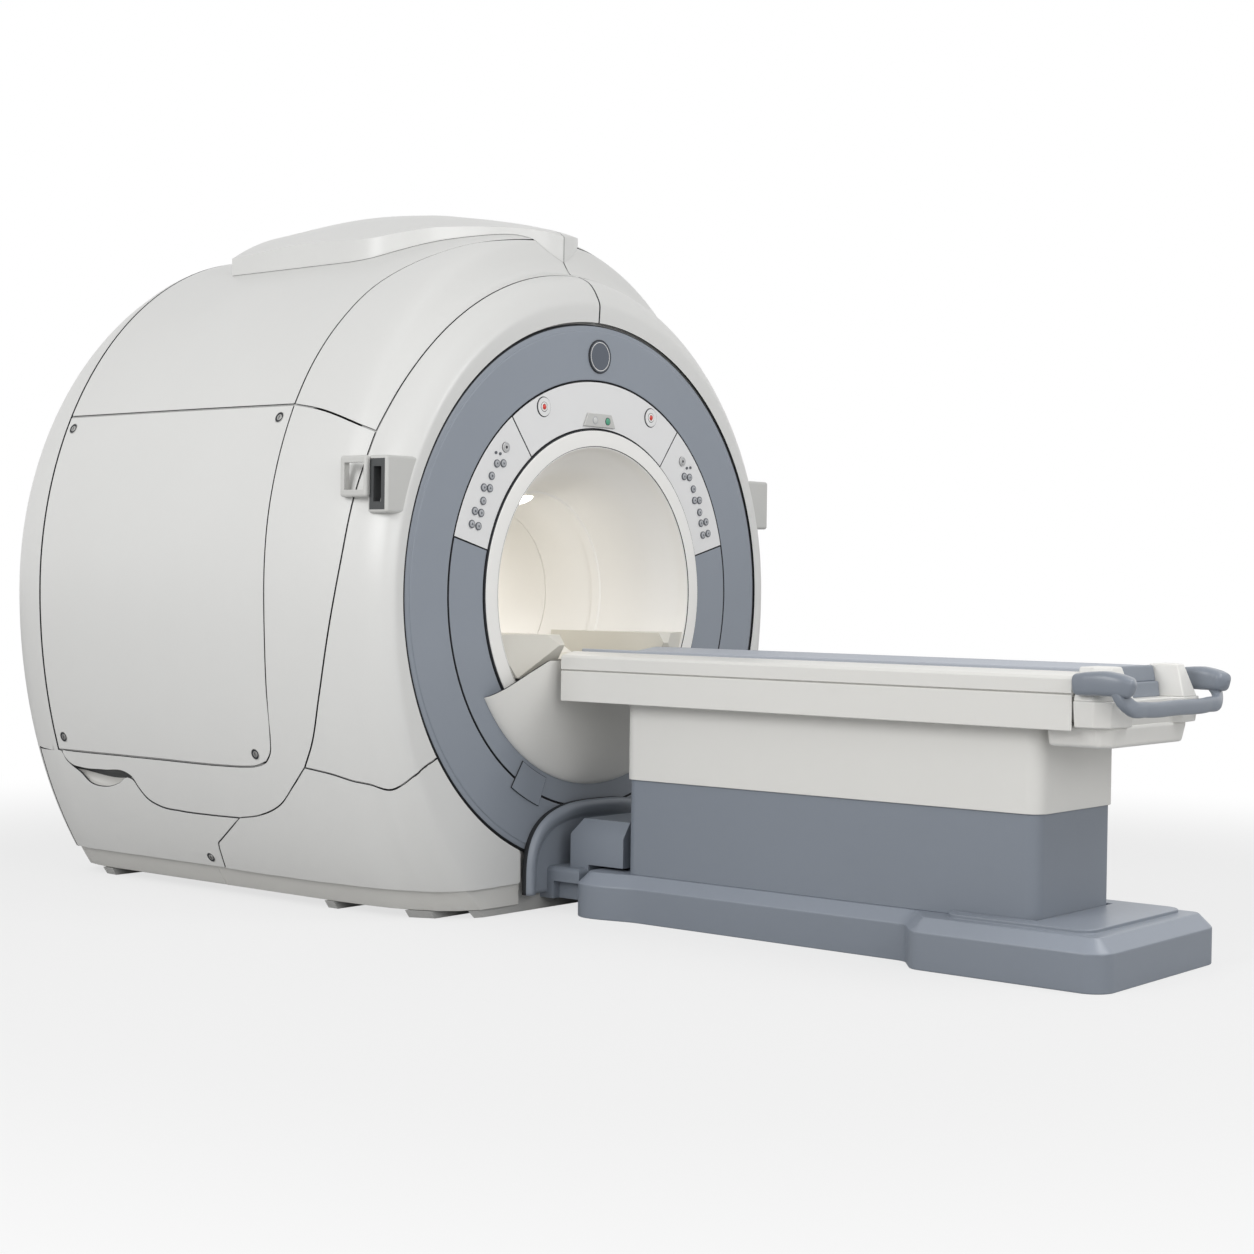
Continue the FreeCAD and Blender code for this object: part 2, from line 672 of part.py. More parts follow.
frame_out = wall + play
frame_in = frame_out + float(S.frame_bar)
face_back = float(S.face_thickness)
plate_back = face_back + float(S.frame_plate)
band = drum(frame_out, face_back, depth_full - wall - play, 0).cut(
    drum(frame_in, plate_back, depth_full - 100, float(S.frame_floor_bar)))
zones = [slab((-1400, 1400), (face_back, plate_back), (0, 3000)),
         slab((-1400, 1400), (120, 200), (0, 3000)),
         slab((-1400, 1400), (500, 545), (0, 3000)),
         slab((-1400, 1400), (rear_seam - 30, rear_seam + 30), (0, 3000)),
         slab((-40, 40), (face_back, rear_seam), (bore_z + 500, 3000))]
for rise in (615, -590, -770):
    z = placed((0, rise))[1]
    zones.append(slab((-1400, 1400), (face_back, rear_seam), (z - 20, z + 20)))
zone = zones[0].fuse(zones[1:])
frame = band.common(zone)
clear = drum(0, 0, depth_full, -10).cut(
    drum(plinth_back + play, plinth_back + play, depth_full - plinth_back, -20))
clear = clear.common(slab((-1400, 1400), (-50, 2500), (lift_off - 2, plinth_top + 5)))
frame = frame.cut([clear, bore_rod(float(S.entry_inner_radius) + wall + 3, 0, 90)])
frame = max(frame.Solids, key=lambda part: part.Volume)
free_piece("cover_frame", frame)

bore_skin = S.bore_radius + S.cover_wall
rf_inner = bore_skin + S.seat_play
gradient_inner = S.rf_outer_radius + S.seat_play
vessel_inner = S.gradient_outer_radius + S.seat_play
coil_end = S.gantry_depth - S.coil_rear_inset
vessel_end = S.gantry_depth - S.vessel_rear_inset
bevel = S.vessel_bevel
turned("magnet_vessel", [
    (S.vessel_front, vessel_inner), (S.vessel_front, S.vessel_outer_radius - bevel),
    (S.vessel_front + bevel, S.vessel_outer_radius), (vessel_end - bevel, S.vessel_outer_radius),
    (vessel_end, S.vessel_outer_radius - bevel), (vessel_end, vessel_inner)])
turned("gradient_coil", [
    (S.coil_front, gradient_inner), (S.coil_front, S.gradient_outer_radius),
    (coil_end, S.gradient_outer_radius), (coil_end, gradient_inner)])
turned("rf_body_coil", [
    (S.coil_front + 20, rf_inner), (S.coil_front + 20, S.rf_outer_radius),
    (coil_end - 20, S.rf_outer_radius), (coil_end - 20, rf_inner)])

stand_rear = S.gantry_depth - S.stand_rear_inset
feet = []
for name, start in (("front_foot", S.stand_front), ("rear_foot", stand_rear)):
    feet.append(block(name, (-S.stand_half_width, S.stand_half_width),
                      (start, start + S.stand_length), (0, S.stand_top)))
for name, centre in (("left_beam", -S.stand_beam_offset), ("right_beam", S.stand_beam_offset)):
    feet.append(block(name, (centre - S.stand_beam_width * 0.5, centre + S.stand_beam_width * 0.5),
                      (S.stand_front + 20, stand_rear + 20),
                      (S.stand_beam_bottom, S.stand_beam_bottom + S.stand_beam_height)))
saddle = doc.addObject("Part::Cylinder", "saddle_round")
bind(saddle, "Radius", S.vessel_outer_radius + S.seat_play)
bind(saddle, "Height", S.gantry_depth)
saddle.Placement = App.Placement(V(0, 0, 0), App.Rotation(V(1, 0, 0), -90))
bind(saddle, "Placement.Base.z", centre_z)
finish(carved("magnet_stand", fused("stand_parts", feet), saddle), "magnet_stand")

# ---------------------------------------------------------------- bore

funnel = [(S.face_thickness, S.entry_inner_radius), (S.joint_depth * 0.2, S.entry_inner_radius - 36),
          (S.joint_depth * 0.4, S.joint_radius + 73), (S.joint_depth * 0.67, S.joint_radius + 36),
          (S.joint_depth, S.joint_radius), (S.joint_depth + 100, S.bore_radius + 21),
          (S.throat_depth, S.bore_radius)]
outer_funnel = [(depth, radius + S.cover_wall) for depth, radius in funnel]
turned("bore_funnel", funnel + outer_funnel[::-1])
liner_end = S.gantry_depth - S.liner_rear_inset
turned("bore_liner", [(S.throat_depth, S.bore_radius), (liner_end, S.bore_radius),
                      (liner_end, bore_skin), (S.throat_depth, bore_skin)])
flare = [(liner_end, S.bore_radius), (liner_end + 150, S.bore_radius + 18),
         (vessel_end, S.bore_radius + 55), (vessel_end + 130, S.rear_flare_radius - 55),
         (S.gantry_depth - S.cover_wall, S.rear_flare_radius)]
outer_flare = [(depth, radius + S.cover_wall) for depth, radius in flare]
turned("rear_bore_funnel", flare + outer_flare[::-1])

lip = S.entry_radius - S.face_gap
stand = S.entry_stand
turned("bore_entry_ring", [
    (S.face_thickness, S.entry_inner_radius), (0, S.entry_inner_radius),
    (-stand * 0.6, S.entry_inner_radius + 7), (-stand, S.entry_inner_radius + 22),
    (-stand, lip - 18), (-stand * 0.6, lip - 5), (0, lip), (S.face_thickness, lip)])

lamp_start = S.bore_lamp_front
lamp_end = lamp_start + S.bore_lamp_length
slope = (S.joint_radius - S.bore_radius - 21) * 0.01
lamp_near = S.joint_radius - (lamp_start - S.joint_depth) * slope.value - S.seat_play * 1.5
lamp_far = S.joint_radius - (lamp_end - S.joint_depth) * slope.value - S.seat_play * 1.5
turned("bore_lamp", [
    (lamp_start, lamp_near), (lamp_end, lamp_far), (lamp_end, lamp_far - S.bore_lamp_thickness),
    (lamp_start, lamp_near - S.bore_lamp_thickness)], S.bore_lamp_angle)


def swept_round(profile):
    """A plain turned solid about the bore's axis from a (depth, radius) profile."""
    corners = [V(0, float(depth), bore_z + float(radius)) for depth, radius in profile]
    face = Part.Face(Part.makePolygon(corners + corners[:1]))
    return face.revolve(V(0, 0, bore_z), V(0, 1, 0), 360)


nose = float(S.bridge_nose)
tip = float(S.bridge_tip)
bridge_end = float(S.gantry_depth - S.bridge_rear_inset)
throat = float(S.bore_radius) - play
inside = [(-tip, 0), (-tip, float(S.entry_inner_radius) - play), (face_back,
          float(S.entry_inner_radius) - play)]
inside += [(float(depth), float(radius) - play) for depth, radius in funnel[1:]]
inside += [(bridge_end, throat), (bridge_end, 0)]
bridge_top = bore_z - float(S.bridge_top_drop)
bridge_side = [V(-600, -nose, bridge_top), V(-600, -tip, bore_z - float(S.bridge_tip_drop)),
               V(-600, -float(S.bridge_heel), bore_z - float(S.bridge_heel_drop)),
               V(-600, bridge_end, bore_z - float(S.bridge_heel_drop)),
               V(-600, bridge_end, bridge_top)]
wedge = Part.Face(Part.makePolygon(bridge_side + bridge_side[:1])).extrude(V(1200, 0, 0))
prow = float(S.bridge_prow_half_width)
root = float(S.bridge_root_half_width)
bridge_plan = [V(-700, 0, 0), V(-root, 0, 0), V(-prow, -tip, 0), V(prow, -tip, 0), V(root, 0, 0),
               V(700, 0, 0), V(700, bridge_end, 0), V(-700, bridge_end, 0)]
prow_prism = Part.Face(Part.makePolygon(bridge_plan + bridge_plan[:1])).extrude(V(0, 0, bore_z))
channel = float(S.channel_half_width)
ledge_end = float(S.ledge_end)
bridge = swept_round(inside).common(wedge).common(prow_prism)
bridge = bridge.cut(slab((-channel, channel), (-200, 2500), (float(tray_floor), 2000)))
bridge = bridge.cut(slab((-700, 700), (ledge_end, 2500), (float(tray_floor), 2000)))
free_piece("bore_bridge", solid_of(bridge))

# ---------------------------------------------------------------- front face

ring_inner = S.panel_radius + S.face_gap * 0.5
ring_outer = S.ring_radius - S.face_gap * 0.5
turned("front_ring", [
    (S.face_thickness, ring_inner), (0, ring_inner), (0, ring_outer - S.ring_bevel),
    (S.ring_bevel, ring_outer), (S.face_thickness, ring_outer)])
band_inner = S.entry_radius
band_outer = S.panel_radius - S.face_gap * 0.5
band_section = [(S.face_thickness, band_inner), (0, band_inner), (0, band_outer),
                (S.face_thickness, band_outer)]
gap_angle = S.face_gap * 0.09
below_sweep = size(360) - S.keypad_bottom_angle * 2 - gap_angle
turned("front_ring_inner", band_section, below_sweep, side=-1)

panel = turned("display_panel", band_section, S.display_half_angle * 2 - gap_angle)
hole = S.button_radius + S.button_fit
button_height = centre_z + S.button_rise
BUTTON_SPOTS = {"left": -S.button_offset, "right": S.button_offset}
collars = discs(panel, "button_collars", "XZ_Plane",
                [(x, button_height, S.button_collar_radius) for x in BUTTON_SPOTS.values()])
feature(panel, "PartDesign::Pad", "button_collar_pads", collars, Length=S.button_collar_height)
holes = discs(panel, "button_holes", "XZ_Plane",
              [(x, button_height, hole) for x in BUTTON_SPOTS.values()],
              offset=S.button_collar_height)
feature(panel, "PartDesign::Pocket", "button_bores", holes,
        Length=S.button_collar_height + S.face_thickness)

keypad_middle = (S.display_half_angle + S.keypad_bottom_angle) * 0.5
keypad_sweep = S.keypad_bottom_angle - S.display_half_angle - gap_angle
KEYS = [(667, 39.7), (645, 41.6), (661, 35.6), (670, 31.0), (645, 32.2), (651, 27.6),
        (671, 23.5), (642, 24.1), (668, 19.7), (637, 20.1)]
MARKS = [(694, 41.7), (677, 42.7)]


def on_keypad(radius, elevation, side):
    """Where a spot of a keypad lies while the keypad is still drawn at the top."""
    turn = math.radians(90 - elevation - float(keypad_middle))
    return size(radius) * math.sin(turn) * side, centre_z + size(radius) * math.cos(turn)


LIGHT_SPOTS = {}
for word, side in (("left", -1), ("right", 1)):
    keypad = turned("keypad_" + word, band_section, keypad_sweep, side * float(keypad_middle))
    spots = [(*on_keypad(radius, elevation, side), S.key_radius) for radius, elevation in KEYS]
    spots += [(*on_keypad(radius, elevation, side), S.mark_radius) for radius, elevation in MARKS]
    keys = discs(keypad, word + "_keys", "XZ_Plane", spots)
    feature(keypad, "PartDesign::Pad", word + "_key_domes", keys, Length=S.key_proud)
    x, z = on_keypad(S.light_button_circle, 90 - float(S.light_button_angle), side)
    light_hole = discs(keypad, word + "_light_hole", "XZ_Plane",
                       [(x, z, S.light_button_radius + S.button_fit)], offset=5)
    feature(keypad, "PartDesign::Pocket", word + "_light_bore", light_hole,
            Length=S.face_thickness + 5)
    angle = math.radians(float(S.light_button_angle))
    LIGHT_SPOTS[word] = (S.light_button_circle * math.sin(angle) * side,
                         centre_z + S.light_button_circle * math.cos(angle))


def push_button(label, x, z, radius):
    body = new_body(label)
    face = discs(body, label + "_round", "XZ_Plane", [(x, z, radius)],
                 offset=S.button_proud - S.button_length)
    feature(body, "PartDesign::Pad", label + "_pad", face, Length=S.button_length)
    return body


for word, x in BUTTON_SPOTS.items():
    finish(push_button("stop_button_" + word, x, button_height, S.button_radius),
           "stop_button_" + word)
for word, (x, z) in LIGHT_SPOTS.items():
    finish(push_button("light_button_" + word, x, z, S.light_button_radius),
           "light_button_" + word)

badge = new_body("badge_disc")
badge_face = discs(badge, "badge_round", "XZ_Plane",
                   [(0, centre_z + S.badge_rise, S.badge_radius)])
feature(badge, "PartDesign::Pad", "badge_pad", badge_face, Length=S.badge_thickness)
finish(badge, "badge_disc")

lamp = new_body("status_lamp")
lamp_low = centre_z + S.lamp_bottom_rise
lamp_high = centre_z + S.lamp_top_rise
front_pad(lamp, "lamp_plate", both_sides(
    [(S.lamp_half_width, lamp_low), (S.lamp_top_half_width, lamp_high)]), -S.lamp_thickness, 0)
finish(lamp, "status_lamp")

turned("service_hatch", [
    (-S.hatch_thickness, S.hatch_inner), (-S.hatch_thickness, S.hatch_outer),
    (0, S.hatch_outer), (0, S.hatch_inner)], S.hatch_sweep, float(S.hatch_angle), side=-1)

# ---------------------------------------------------------------- apron and dock

def bulge(radius, reach):
    ball = Part.makeSphere(1.0)
    stretch = App.Matrix()
    stretch.A11 = radius
    stretch.A22 = reach
    stretch.A33 = radius
    stretch.A34 = bore_z
    return ball.transformGeometry(stretch)


apron_radius = float(S.apron_radius)
apron_bulge = float(S.apron_bulge)
apron_wall = float(S.apron_wall)
apron = bulge(apron_radius, apron_bulge).cut(
    bulge(apron_radius - apron_wall, apron_bulge - apron_wall))
top_edge = [(700, float(apron_corner) - 75),
            (float(S.apron_corner_half_width), float(apron_corner)),
            (float(S.apron_elbow_half_width), float(apron_elbow)),
            (float(S.apron_shoulder_half_width), float(apron_top))]
shield = [V(x, -300, z) for x, z in top_edge] + [V(-x, -300, z) for x, z in top_edge[::-1]]
shield += [V(-700, -300, 0), V(700, -300, 0)]
shield_prism = Part.Face(Part.makePolygon(shield + shield[:1])).extrude(V(0, 300, 0))
free_piece("apron", solid_of(apron.common(shield_prism)))

collar = new_body("dock_collar")
front_pad(collar, "collar_arch", both_sides(
    [(S.collar_half_width, S.collar_foot), (S.collar_half_width, collar_top)]),
    -S.collar_stand, 0)
opening_side = S.collar_half_width - S.collar_band
opening_top = collar_top - S.collar_band
arch = front_pocket(collar, "collar_opening", both_sides(
    [(opening_side, S.collar_foot - 1), (opening_side, opening_top)]), -S.collar_stand, 1)


def arch_corner(height):
    """Chooses the edges that run front to back at one height."""
    def chosen(edge):
        box = edge.BoundBox
        return box.YLength > 5 and box.XLength < 1 and abs(box.ZMin - float(height)) < 0.5
    return chosen


arch = dress(collar, "PartDesign::Fillet", "opening_round", arch, arch_corner(opening_top),
             S.collar_round - S.collar_band)
dress(collar, "PartDesign::Fillet", "collar_round", arch, arch_corner(collar_top),
      S.collar_round)
finish(collar, "dock_collar")

dock_low = block("dock_low", (-S.dock_low_half_width, S.dock_low_half_width),
                 (-S.dock_low_front, 0), (S.dock_low_bottom, S.dock_low_top))


def low_rim(edge):
    """The front and side edges round the top of the low dock block."""
    box = edge.BoundBox
    return box.ZMin > float(S.dock_low_top) - 0.1 and box.YMin < -1


# The cap is a wedge lying on its back: its own Y axis points up and its Z axis forwards.
dock_cap = doc.addObject("Part::Wedge", "dock_cap")
for key, value in (("Xmin", -S.dock_half_width), ("Xmax", S.dock_half_width),
                   ("Ymin", dock_lip), ("Ymax", dock_top),
                   ("Zmin", S.dock_front), ("Zmax", S.dock_rear),
                   ("X2min", -S.dock_cap_half_width), ("X2max", S.dock_cap_half_width),
                   ("Z2min", S.dock_cap_front), ("Z2max", S.dock_rear)):
    bind(dock_cap, key, value)
dock_cap.Placement = App.Placement(V(0, 0, 0), App.Rotation(V(1, 0, 0), 90))
dock_parts = [
    softened("dock_low_soft", dock_low, S.dock_low_round, low_rim),
    block("dock_root", (-S.dock_low_half_width, S.dock_low_half_width), (-10, S.face_thickness),
          (S.dock_low_bottom, S.bore_height - S.ring_radius - S.face_gap)),
    block("dock_neck", (-S.dock_half_width, S.dock_half_width),
          (-S.dock_low_front, -S.dock_front), (S.dock_low_top - 10, S.dock_shelf + 10)),
    block("dock_high", (-S.dock_half_width, S.dock_half_width),
          (-S.dock_rear, -S.dock_front), (S.dock_shelf, dock_lip)),
    dock_cap,
]
side_reach = S.dock_low_half_width + 10
notch_x = S.dock_low_half_width - S.notch_depth
notch_y = (-S.dock_low_front - 10, -S.notch_back)
notch_z = (S.dock_low_bottom - 10, S.notch_top)
notches = [block("notch_left", (-side_reach, -notch_x), notch_y, notch_z),
           block("notch_right", (notch_x, side_reach), notch_y, notch_z)]
finish(carved("dock_block", fused("dock_solid", dock_parts), fused("dock_notches", notches)),
       "dock_block")

# ---------------------------------------------------------------- turret and grab handles

crown_width = 1020 * float(S.gantry_half_width) / 1055
TURRET_TOP = [(150, 1228), (190, 1261), (280, 1288), (430, 1320), (570, 1344), (720, 1366),
              (980, 1381), (1400, 1356)]
TURRET_PLAN = [(0, 168), (95, 196), (190, 276), (262, 390), (322, 510), (380, 590),
               (430, 668), (450, 780), (450, 900)]
crown_share = float(S.turret_crown) / 1381 * tall


def crown(inset):
    wires = []
    for y, rise in TURRET_TOP:
        y = stretched(y)
        if y == TURRET_TOP[0][0]:
            y -= 50
        if y > stretched(1390):
            y += 50
        wires.append(section(y, crown_width - inset, rise * crown_share - inset,
                             rise * crown_share - inset, bore_z - 200))
    return Part.makeLoft(wires, True, True)


def turret_plan(inset, low, high, seam):
    """The left half's plan prism, moved inwards by inset."""
    share = float(S.turret_half_width) / 450
    corners = [V(-max(x * share - inset, seam), stretched(y) + inset, low)
               for x, y in TURRET_PLAN]
    rear = float(S.gantry_depth - S.turret_rear_inset) - inset
    curve = Part.BSplineCurve()
    curve.interpolate(corners)
    last = V(corners[-1].x, rear, low)
    edges = [curve.toShape(), Part.makeLine(corners[-1], last),
             Part.makeLine(last, V(-seam, rear, low)),
             Part.makeLine(V(-seam, rear, low), corners[0])]
    return Part.Face(Part.Wire(edges)).extrude(V(0, 0, high - low))


turret_wall = float(S.turret_wall)
seat_skin = drum(-play, -play, depth_full, skirt)
turret = crown(0).common(turret_plan(0, bore_z + 900, bore_z + 1600, 1))
turret = turret.cut(seat_skin)
hollow = crown(turret_wall).common(
    turret_plan(turret_wall, bore_z + 850, bore_z + 1600, turret_wall + 1))
turret = max(turret.cut(hollow).Solids, key=lambda part: part.Volume)
free_piece("turret_cover_left", turret)
free_piece("turret_cover_right", mirrored(turret))

span = float(S.grab_half_span)
grab = slab((-span, -850), (float(S.grab_front), float(S.grab_back)),
            (bore_z + float(S.grab_bottom), bore_z + float(S.grab_top)))
grab = grab.makeFillet(10, [edge for edge in grab.Edges if edge.BoundBox.XMax < -850.5
                            or edge.BoundBox.XLength > 1])
grab = grab.cut(slab((-1400, -700), (float(S.slot_front), float(S.slot_back)),
                     (bore_z + float(S.slot_bottom), bore_z + float(S.slot_top))))
loop_low = bore_z + float(S.loop_bottom)
loop_high = bore_z + float(S.loop_top)
bar = float(S.loop_bar)
loop_out = slab((-span - bar + 2, -span + 2), (float(S.grab_back) - 15, float(S.loop_back)),
                (loop_low, loop_high))
loop_out = loop_out.makeFillet(9, loop_out.Edges)
loop_hole = slab((-span - 40, -span + 40), (float(S.grab_back) - 4, float(S.loop_back) - bar),
                 (loop_low + bar, loop_high - bar))
grab = grab.fuse(loop_out.cut(loop_hole)).removeSplitter().cut(seat_skin)
grab = max(grab.Solids, key=lambda part: part.Volume)
free_piece("side_handle_left", grab)
free_piece("side_handle_right", mirrored(grab))

# ---------------------------------------------------------------- patient table

front = -S.table_front
rear = front - S.table_length
deck = new_body("deck_frame")
side_wall = S.deck_half_width - S.deck_wall
deck_lid = deck_seam - 2 - S.deck_wall
front_pad(deck, "deck_section", both_sides([
    (S.beam_half_width, beam_bottom), (S.beam_half_width, deck_lid), (side_wall, deck_lid),
    (side_wall, deck_bottom), (S.deck_half_width, deck_bottom),
    (S.deck_half_width, deck_seam - 2)]), rear, front)
finish(deck, "deck_frame")

rail = new_body("deck_rail")
front_pad(rail, "rail_section", both_sides([
    (S.deck_half_width - 8, deck_seam - 2), (S.deck_half_width - 8, deck_seam + 2),
    (S.deck_half_width, deck_seam + 2), (S.deck_half_width, deck_edge - 6),
    (S.deck_half_width - 7, deck_edge + 2), (S.tray_half_width + 28, deck_inner_edge),
    (S.tray_half_width + 14, deck_inner_edge - 4), (S.tray_half_width, tray_floor)]),
    rear, front)
finish(rail, "deck_rail")

cradle = new_body("cradle")
cradle_front = -S.cradle_front
cradle_rear = cradle_front - S.cradle_length
cradle_low = tray_floor + S.cradle_rise
slabbed = plan_pad(cradle, "cradle_slab",
                   oblong(S.cradle_half_width, cradle_rear, cradle_front),
                   cradle_low, cradle_top)
slabbed = dress(cradle, "PartDesign::Fillet", "cradle_ends", slabbed, upright, 30)


def cradle_keel(edge):
    return edge.BoundBox.ZMax < float(cradle_low) + 0.01


slabbed = dress(cradle, "PartDesign::Chamfer", "cradle_slope", slabbed, cradle_keel,
                S.cradle_bevel)
doc.recompute()
dip = discs(cradle, "cradle_dip", "XZ_Plane",
            [(0, cradle_top - S.cradle_dip + S.cradle_round, S.cradle_round)],
            offset=S.cradle_front - 10)
feature(cradle, "PartDesign::Pocket", "cradle_hollow", dip, Length=S.cradle_length + 20,
        Reversed=True)
finish(cradle, "cradle")

shroud_front = -S.shroud_front
shroud_rear = shroud_front - S.shroud_length
shroud_ceiling = beam_bottom - S.shroud_cap


def rounded_tube(label, half, near, far, low, high, corner, ceiling):
    """An upright tube of rounded-oblong plan, with a lid if ceiling is below high."""
    body = new_body(label)
    plan_pad(body, label + "_tube", oblong(half, far, near), low, high)
    inner = plan_pocket(body, label + "_hollow",
                        oblong(half - S.shroud_wall, far + S.shroud_wall, near - S.shroud_wall),
                        low, ceiling)

    def corner_at(width):
        return lambda edge: upright(edge) and abs(abs(edge.BoundBox.XMin) - float(width)) < 0.5

    inner = dress(body, "PartDesign::Fillet", label + "_inner_corners", inner,
                  corner_at(half - S.shroud_wall), corner - S.shroud_wall)
    dress(body, "PartDesign::Fillet", label + "_corners", inner, corner_at(half), corner)
    return finish(body, label)


rounded_tube("upper_shroud", S.shroud_half_width, shroud_front, shroud_rear,
             S.shroud_line, beam_bottom, S.shroud_corner, shroud_ceiling)
step = S.shroud_wall + S.shroud_fit
rounded_tube("lower_shroud", S.shroud_half_width - step, shroud_front - step, shroud_rear + step,
             S.base_top, S.lower_shroud_top, S.shroud_corner - step, S.lower_shroud_top)

column_y = -S.column_centre
column = new_body("lift_column")
plan_pad(column, "column_flange",
         oblong(S.flange_half_width, column_y - S.flange_half_length,
                column_y + S.flange_half_length), 0, S.flange_thickness)
plan_pad(column, "column_tube",
         oblong(S.column_half_width, column_y - S.column_half_length,
                column_y + S.column_half_length), S.flange_thickness - 1, S.column_top)
tube_x = S.column_half_width - S.column_wall
tube_y = S.column_half_length - S.column_wall
plan_pocket(column, "column_hollow", oblong(tube_x, column_y - tube_y, column_y + tube_y),
            S.flange_thickness + 8, S.column_top)
finish(column, "lift_column")

ram = new_body("lift_ram")
ram_x = tube_x - S.ram_fit
ram_y = tube_y - S.ram_fit
plan_pad(ram, "ram_tube", oblong(ram_x, column_y - ram_y, column_y + ram_y),
         S.ram_bottom, shroud_ceiling)
finish(ram, "lift_ram")

base = new_body("base_cover")
base_front = -S.dock_low_front - S.base_gap
base_plan = both_sides([
    (S.base_foot_half_width, -S.base_end), (S.base_foot_half_width, -S.base_foot_shoulder),
    (S.base_neck_half_width, -S.base_foot_start), (S.base_neck_half_width, -S.base_waist),
    (S.base_bulge_half_width, -S.base_bulge_end), (S.base_bulge_half_width, base_front)])
base_block = plan_pad(base, "base_block", base_plan, 0, S.base_top)


def upright_between(near, far):
    """Chooses the upright edges between two depths."""
    def chosen(edge):
        return upright(edge) and float(far) - 1 < edge.BoundBox.YMin < float(near) + 1
    return chosen


for name, near, far, reach in (
        ("base_heels", -S.base_end, -S.base_end, S.base_corner),
        ("base_shoulders", -S.base_foot_start, -S.base_foot_shoulder, S.base_round),
        ("base_sways", -S.base_bulge_end, -S.base_waist, S.base_sway),
        ("base_nose", base_front, base_front, S.base_nose_round)):
    base_block = dress(base, "PartDesign::Fillet", name, base_block, upright_between(near, far),
                       reach)


def base_rim(edge):
    return edge.BoundBox.ZMin > float(S.base_top) - 0.01


base_block = dress(base, "PartDesign::Chamfer", "base_slope", base_block, base_rim, S.base_bevel)
doc.recompute()
plateau_front = -S.plateau_start
plateau_rear = -S.plateau_end
recess_x = S.shroud_half_width - step + 1
recess_y = shroud_rear + step - 1
plateau = plan_pad(base, "base_plateau", both_sides([
    (recess_x, recess_y), (recess_x, plateau_front), (S.plateau_half_width, plateau_front),
    (S.plateau_half_width, plateau_rear)])[::-1], S.base_top - 1, S.base_top + S.plateau_rise)


def plateau_corner(edge):
    box = edge.BoundBox
    outer = abs(abs(box.XMin) - float(S.plateau_half_width)) < 0.5
    return outer and box.XLength < 0.5 and box.YLength < 0.5 and box.ZLength > 5


plateau = dress(base, "PartDesign::Fillet", "plateau_corners", plateau, plateau_corner,
                S.base_round)
doc.recompute()
wall_in = S.base_wall
plan_pocket(base, "base_hollow", both_sides([
    (S.base_foot_half_width - S.base_bevel - wall_in, -S.base_end + S.base_bevel + wall_in),
    (S.base_foot_half_width - S.base_bevel - wall_in, -S.base_foot_shoulder - wall_in * 2),
    (S.base_neck_half_width - S.base_bevel - wall_in, -S.base_foot_start - wall_in * 2),
    (S.base_neck_half_width - S.base_bevel - wall_in, base_front - S.base_bevel - wall_in)]),
    -1, S.base_top - wall_in)
plan_pocket(base, "column_opening",
            oblong(S.column_half_width + S.seat_play,
                   column_y - S.column_half_length - S.seat_play,
                   column_y + S.column_half_length + S.seat_play),
            S.base_top - wall_in * 2, S.base_top + 20)
finish(base, "base_cover")

cap_parts = [
    block("cap_low", (-S.deck_half_width, S.deck_half_width), (-S.cap_end, rear),
          (cap_bottom, cap_floor)),
    block("cap_wall", (-S.cheek_outer, S.cheek_outer), (-S.cap_recess, rear),
          (cap_floor - 5, cap_wall_top)),
    block("cheek_left", (-S.cheek_outer, -S.cheek_inner), (-S.cap_end, rear),
          (cap_floor - 5, cap_top)),
    block("cheek_right", (S.cheek_inner, S.cheek_outer), (-S.cap_end, rear),
          (cap_floor - 5, cap_top)),
]
finish(fused("end_cap", cap_parts), "end_cap")

grip_parts = [block("handle_bar", (-S.riser_half_span, S.riser_half_span),
                    (-S.bar_front, -S.bar_back), (bar_bottom, bar_top))]
for word, side in (("left", -1), ("right", 1)):
    inner = S.cheek_outer * side
    outer = S.grip_half_span * side
    riser = S.riser_half_span * side
    x_grip = (inner, outer) if side > 0 else (outer, inner)
    x_riser = (inner, riser) if side > 0 else (riser, inner)
    grip_parts.append(block("grip_" + word, x_grip, (-S.grip_end, rear),
                            (grip_bottom, grip_top)))
    grip_parts.append(block("riser_" + word, x_riser, (-S.grip_end - 6, -S.bar_back),
                            (bar_bottom, grip_bottom + 10)))
handle = fused("handle_solid", grip_parts)


def grip_corner(edge):
    box = edge.BoundBox
    low = box.ZMin > float(grip_top) - 1
    outer = abs(abs(box.XMin) - float(S.grip_half_span)) < 0.5 and box.XLength < 0.5
    return (low and outer) or (outer and box.YLength > 50)


finish(softened("push_handle", handle, S.grip_round, grip_corner), "push_handle")

tray = new_body("under_tray")
tray_front = -S.tray_box_start
tray_rear = -S.tray_box_end
tray_pad = plan_pad(tray, "tray_pad", oblong(S.tray_box_half_width, tray_rear, tray_front),
                    tray_box_bottom, deck_bottom)
dress(tray, "PartDesign::Fillet", "tray_corners", tray_pad, upright, S.tray_box_corner)
doc.recompute()
plan_pad(tray, "tray_lug", oblong(S.tray_lug_half_width, rear + 6, tray_front - 6),
         deck_bottom - 1, beam_bottom)
finish(tray, "under_tray")

# ---------------------------------------------------------------- checks and export

doc.recompute()
for item in doc.Objects:
    assert "Invalid" not in item.State and "Error" not in item.State, item.Name
for item in pieces:
    shape = item.Shape
    assert not shape.isNull() and shape.isValid(), item.Label
    shape.exportStep("parts/" + item.Label + ".step")
print(len(pieces), "pieces")
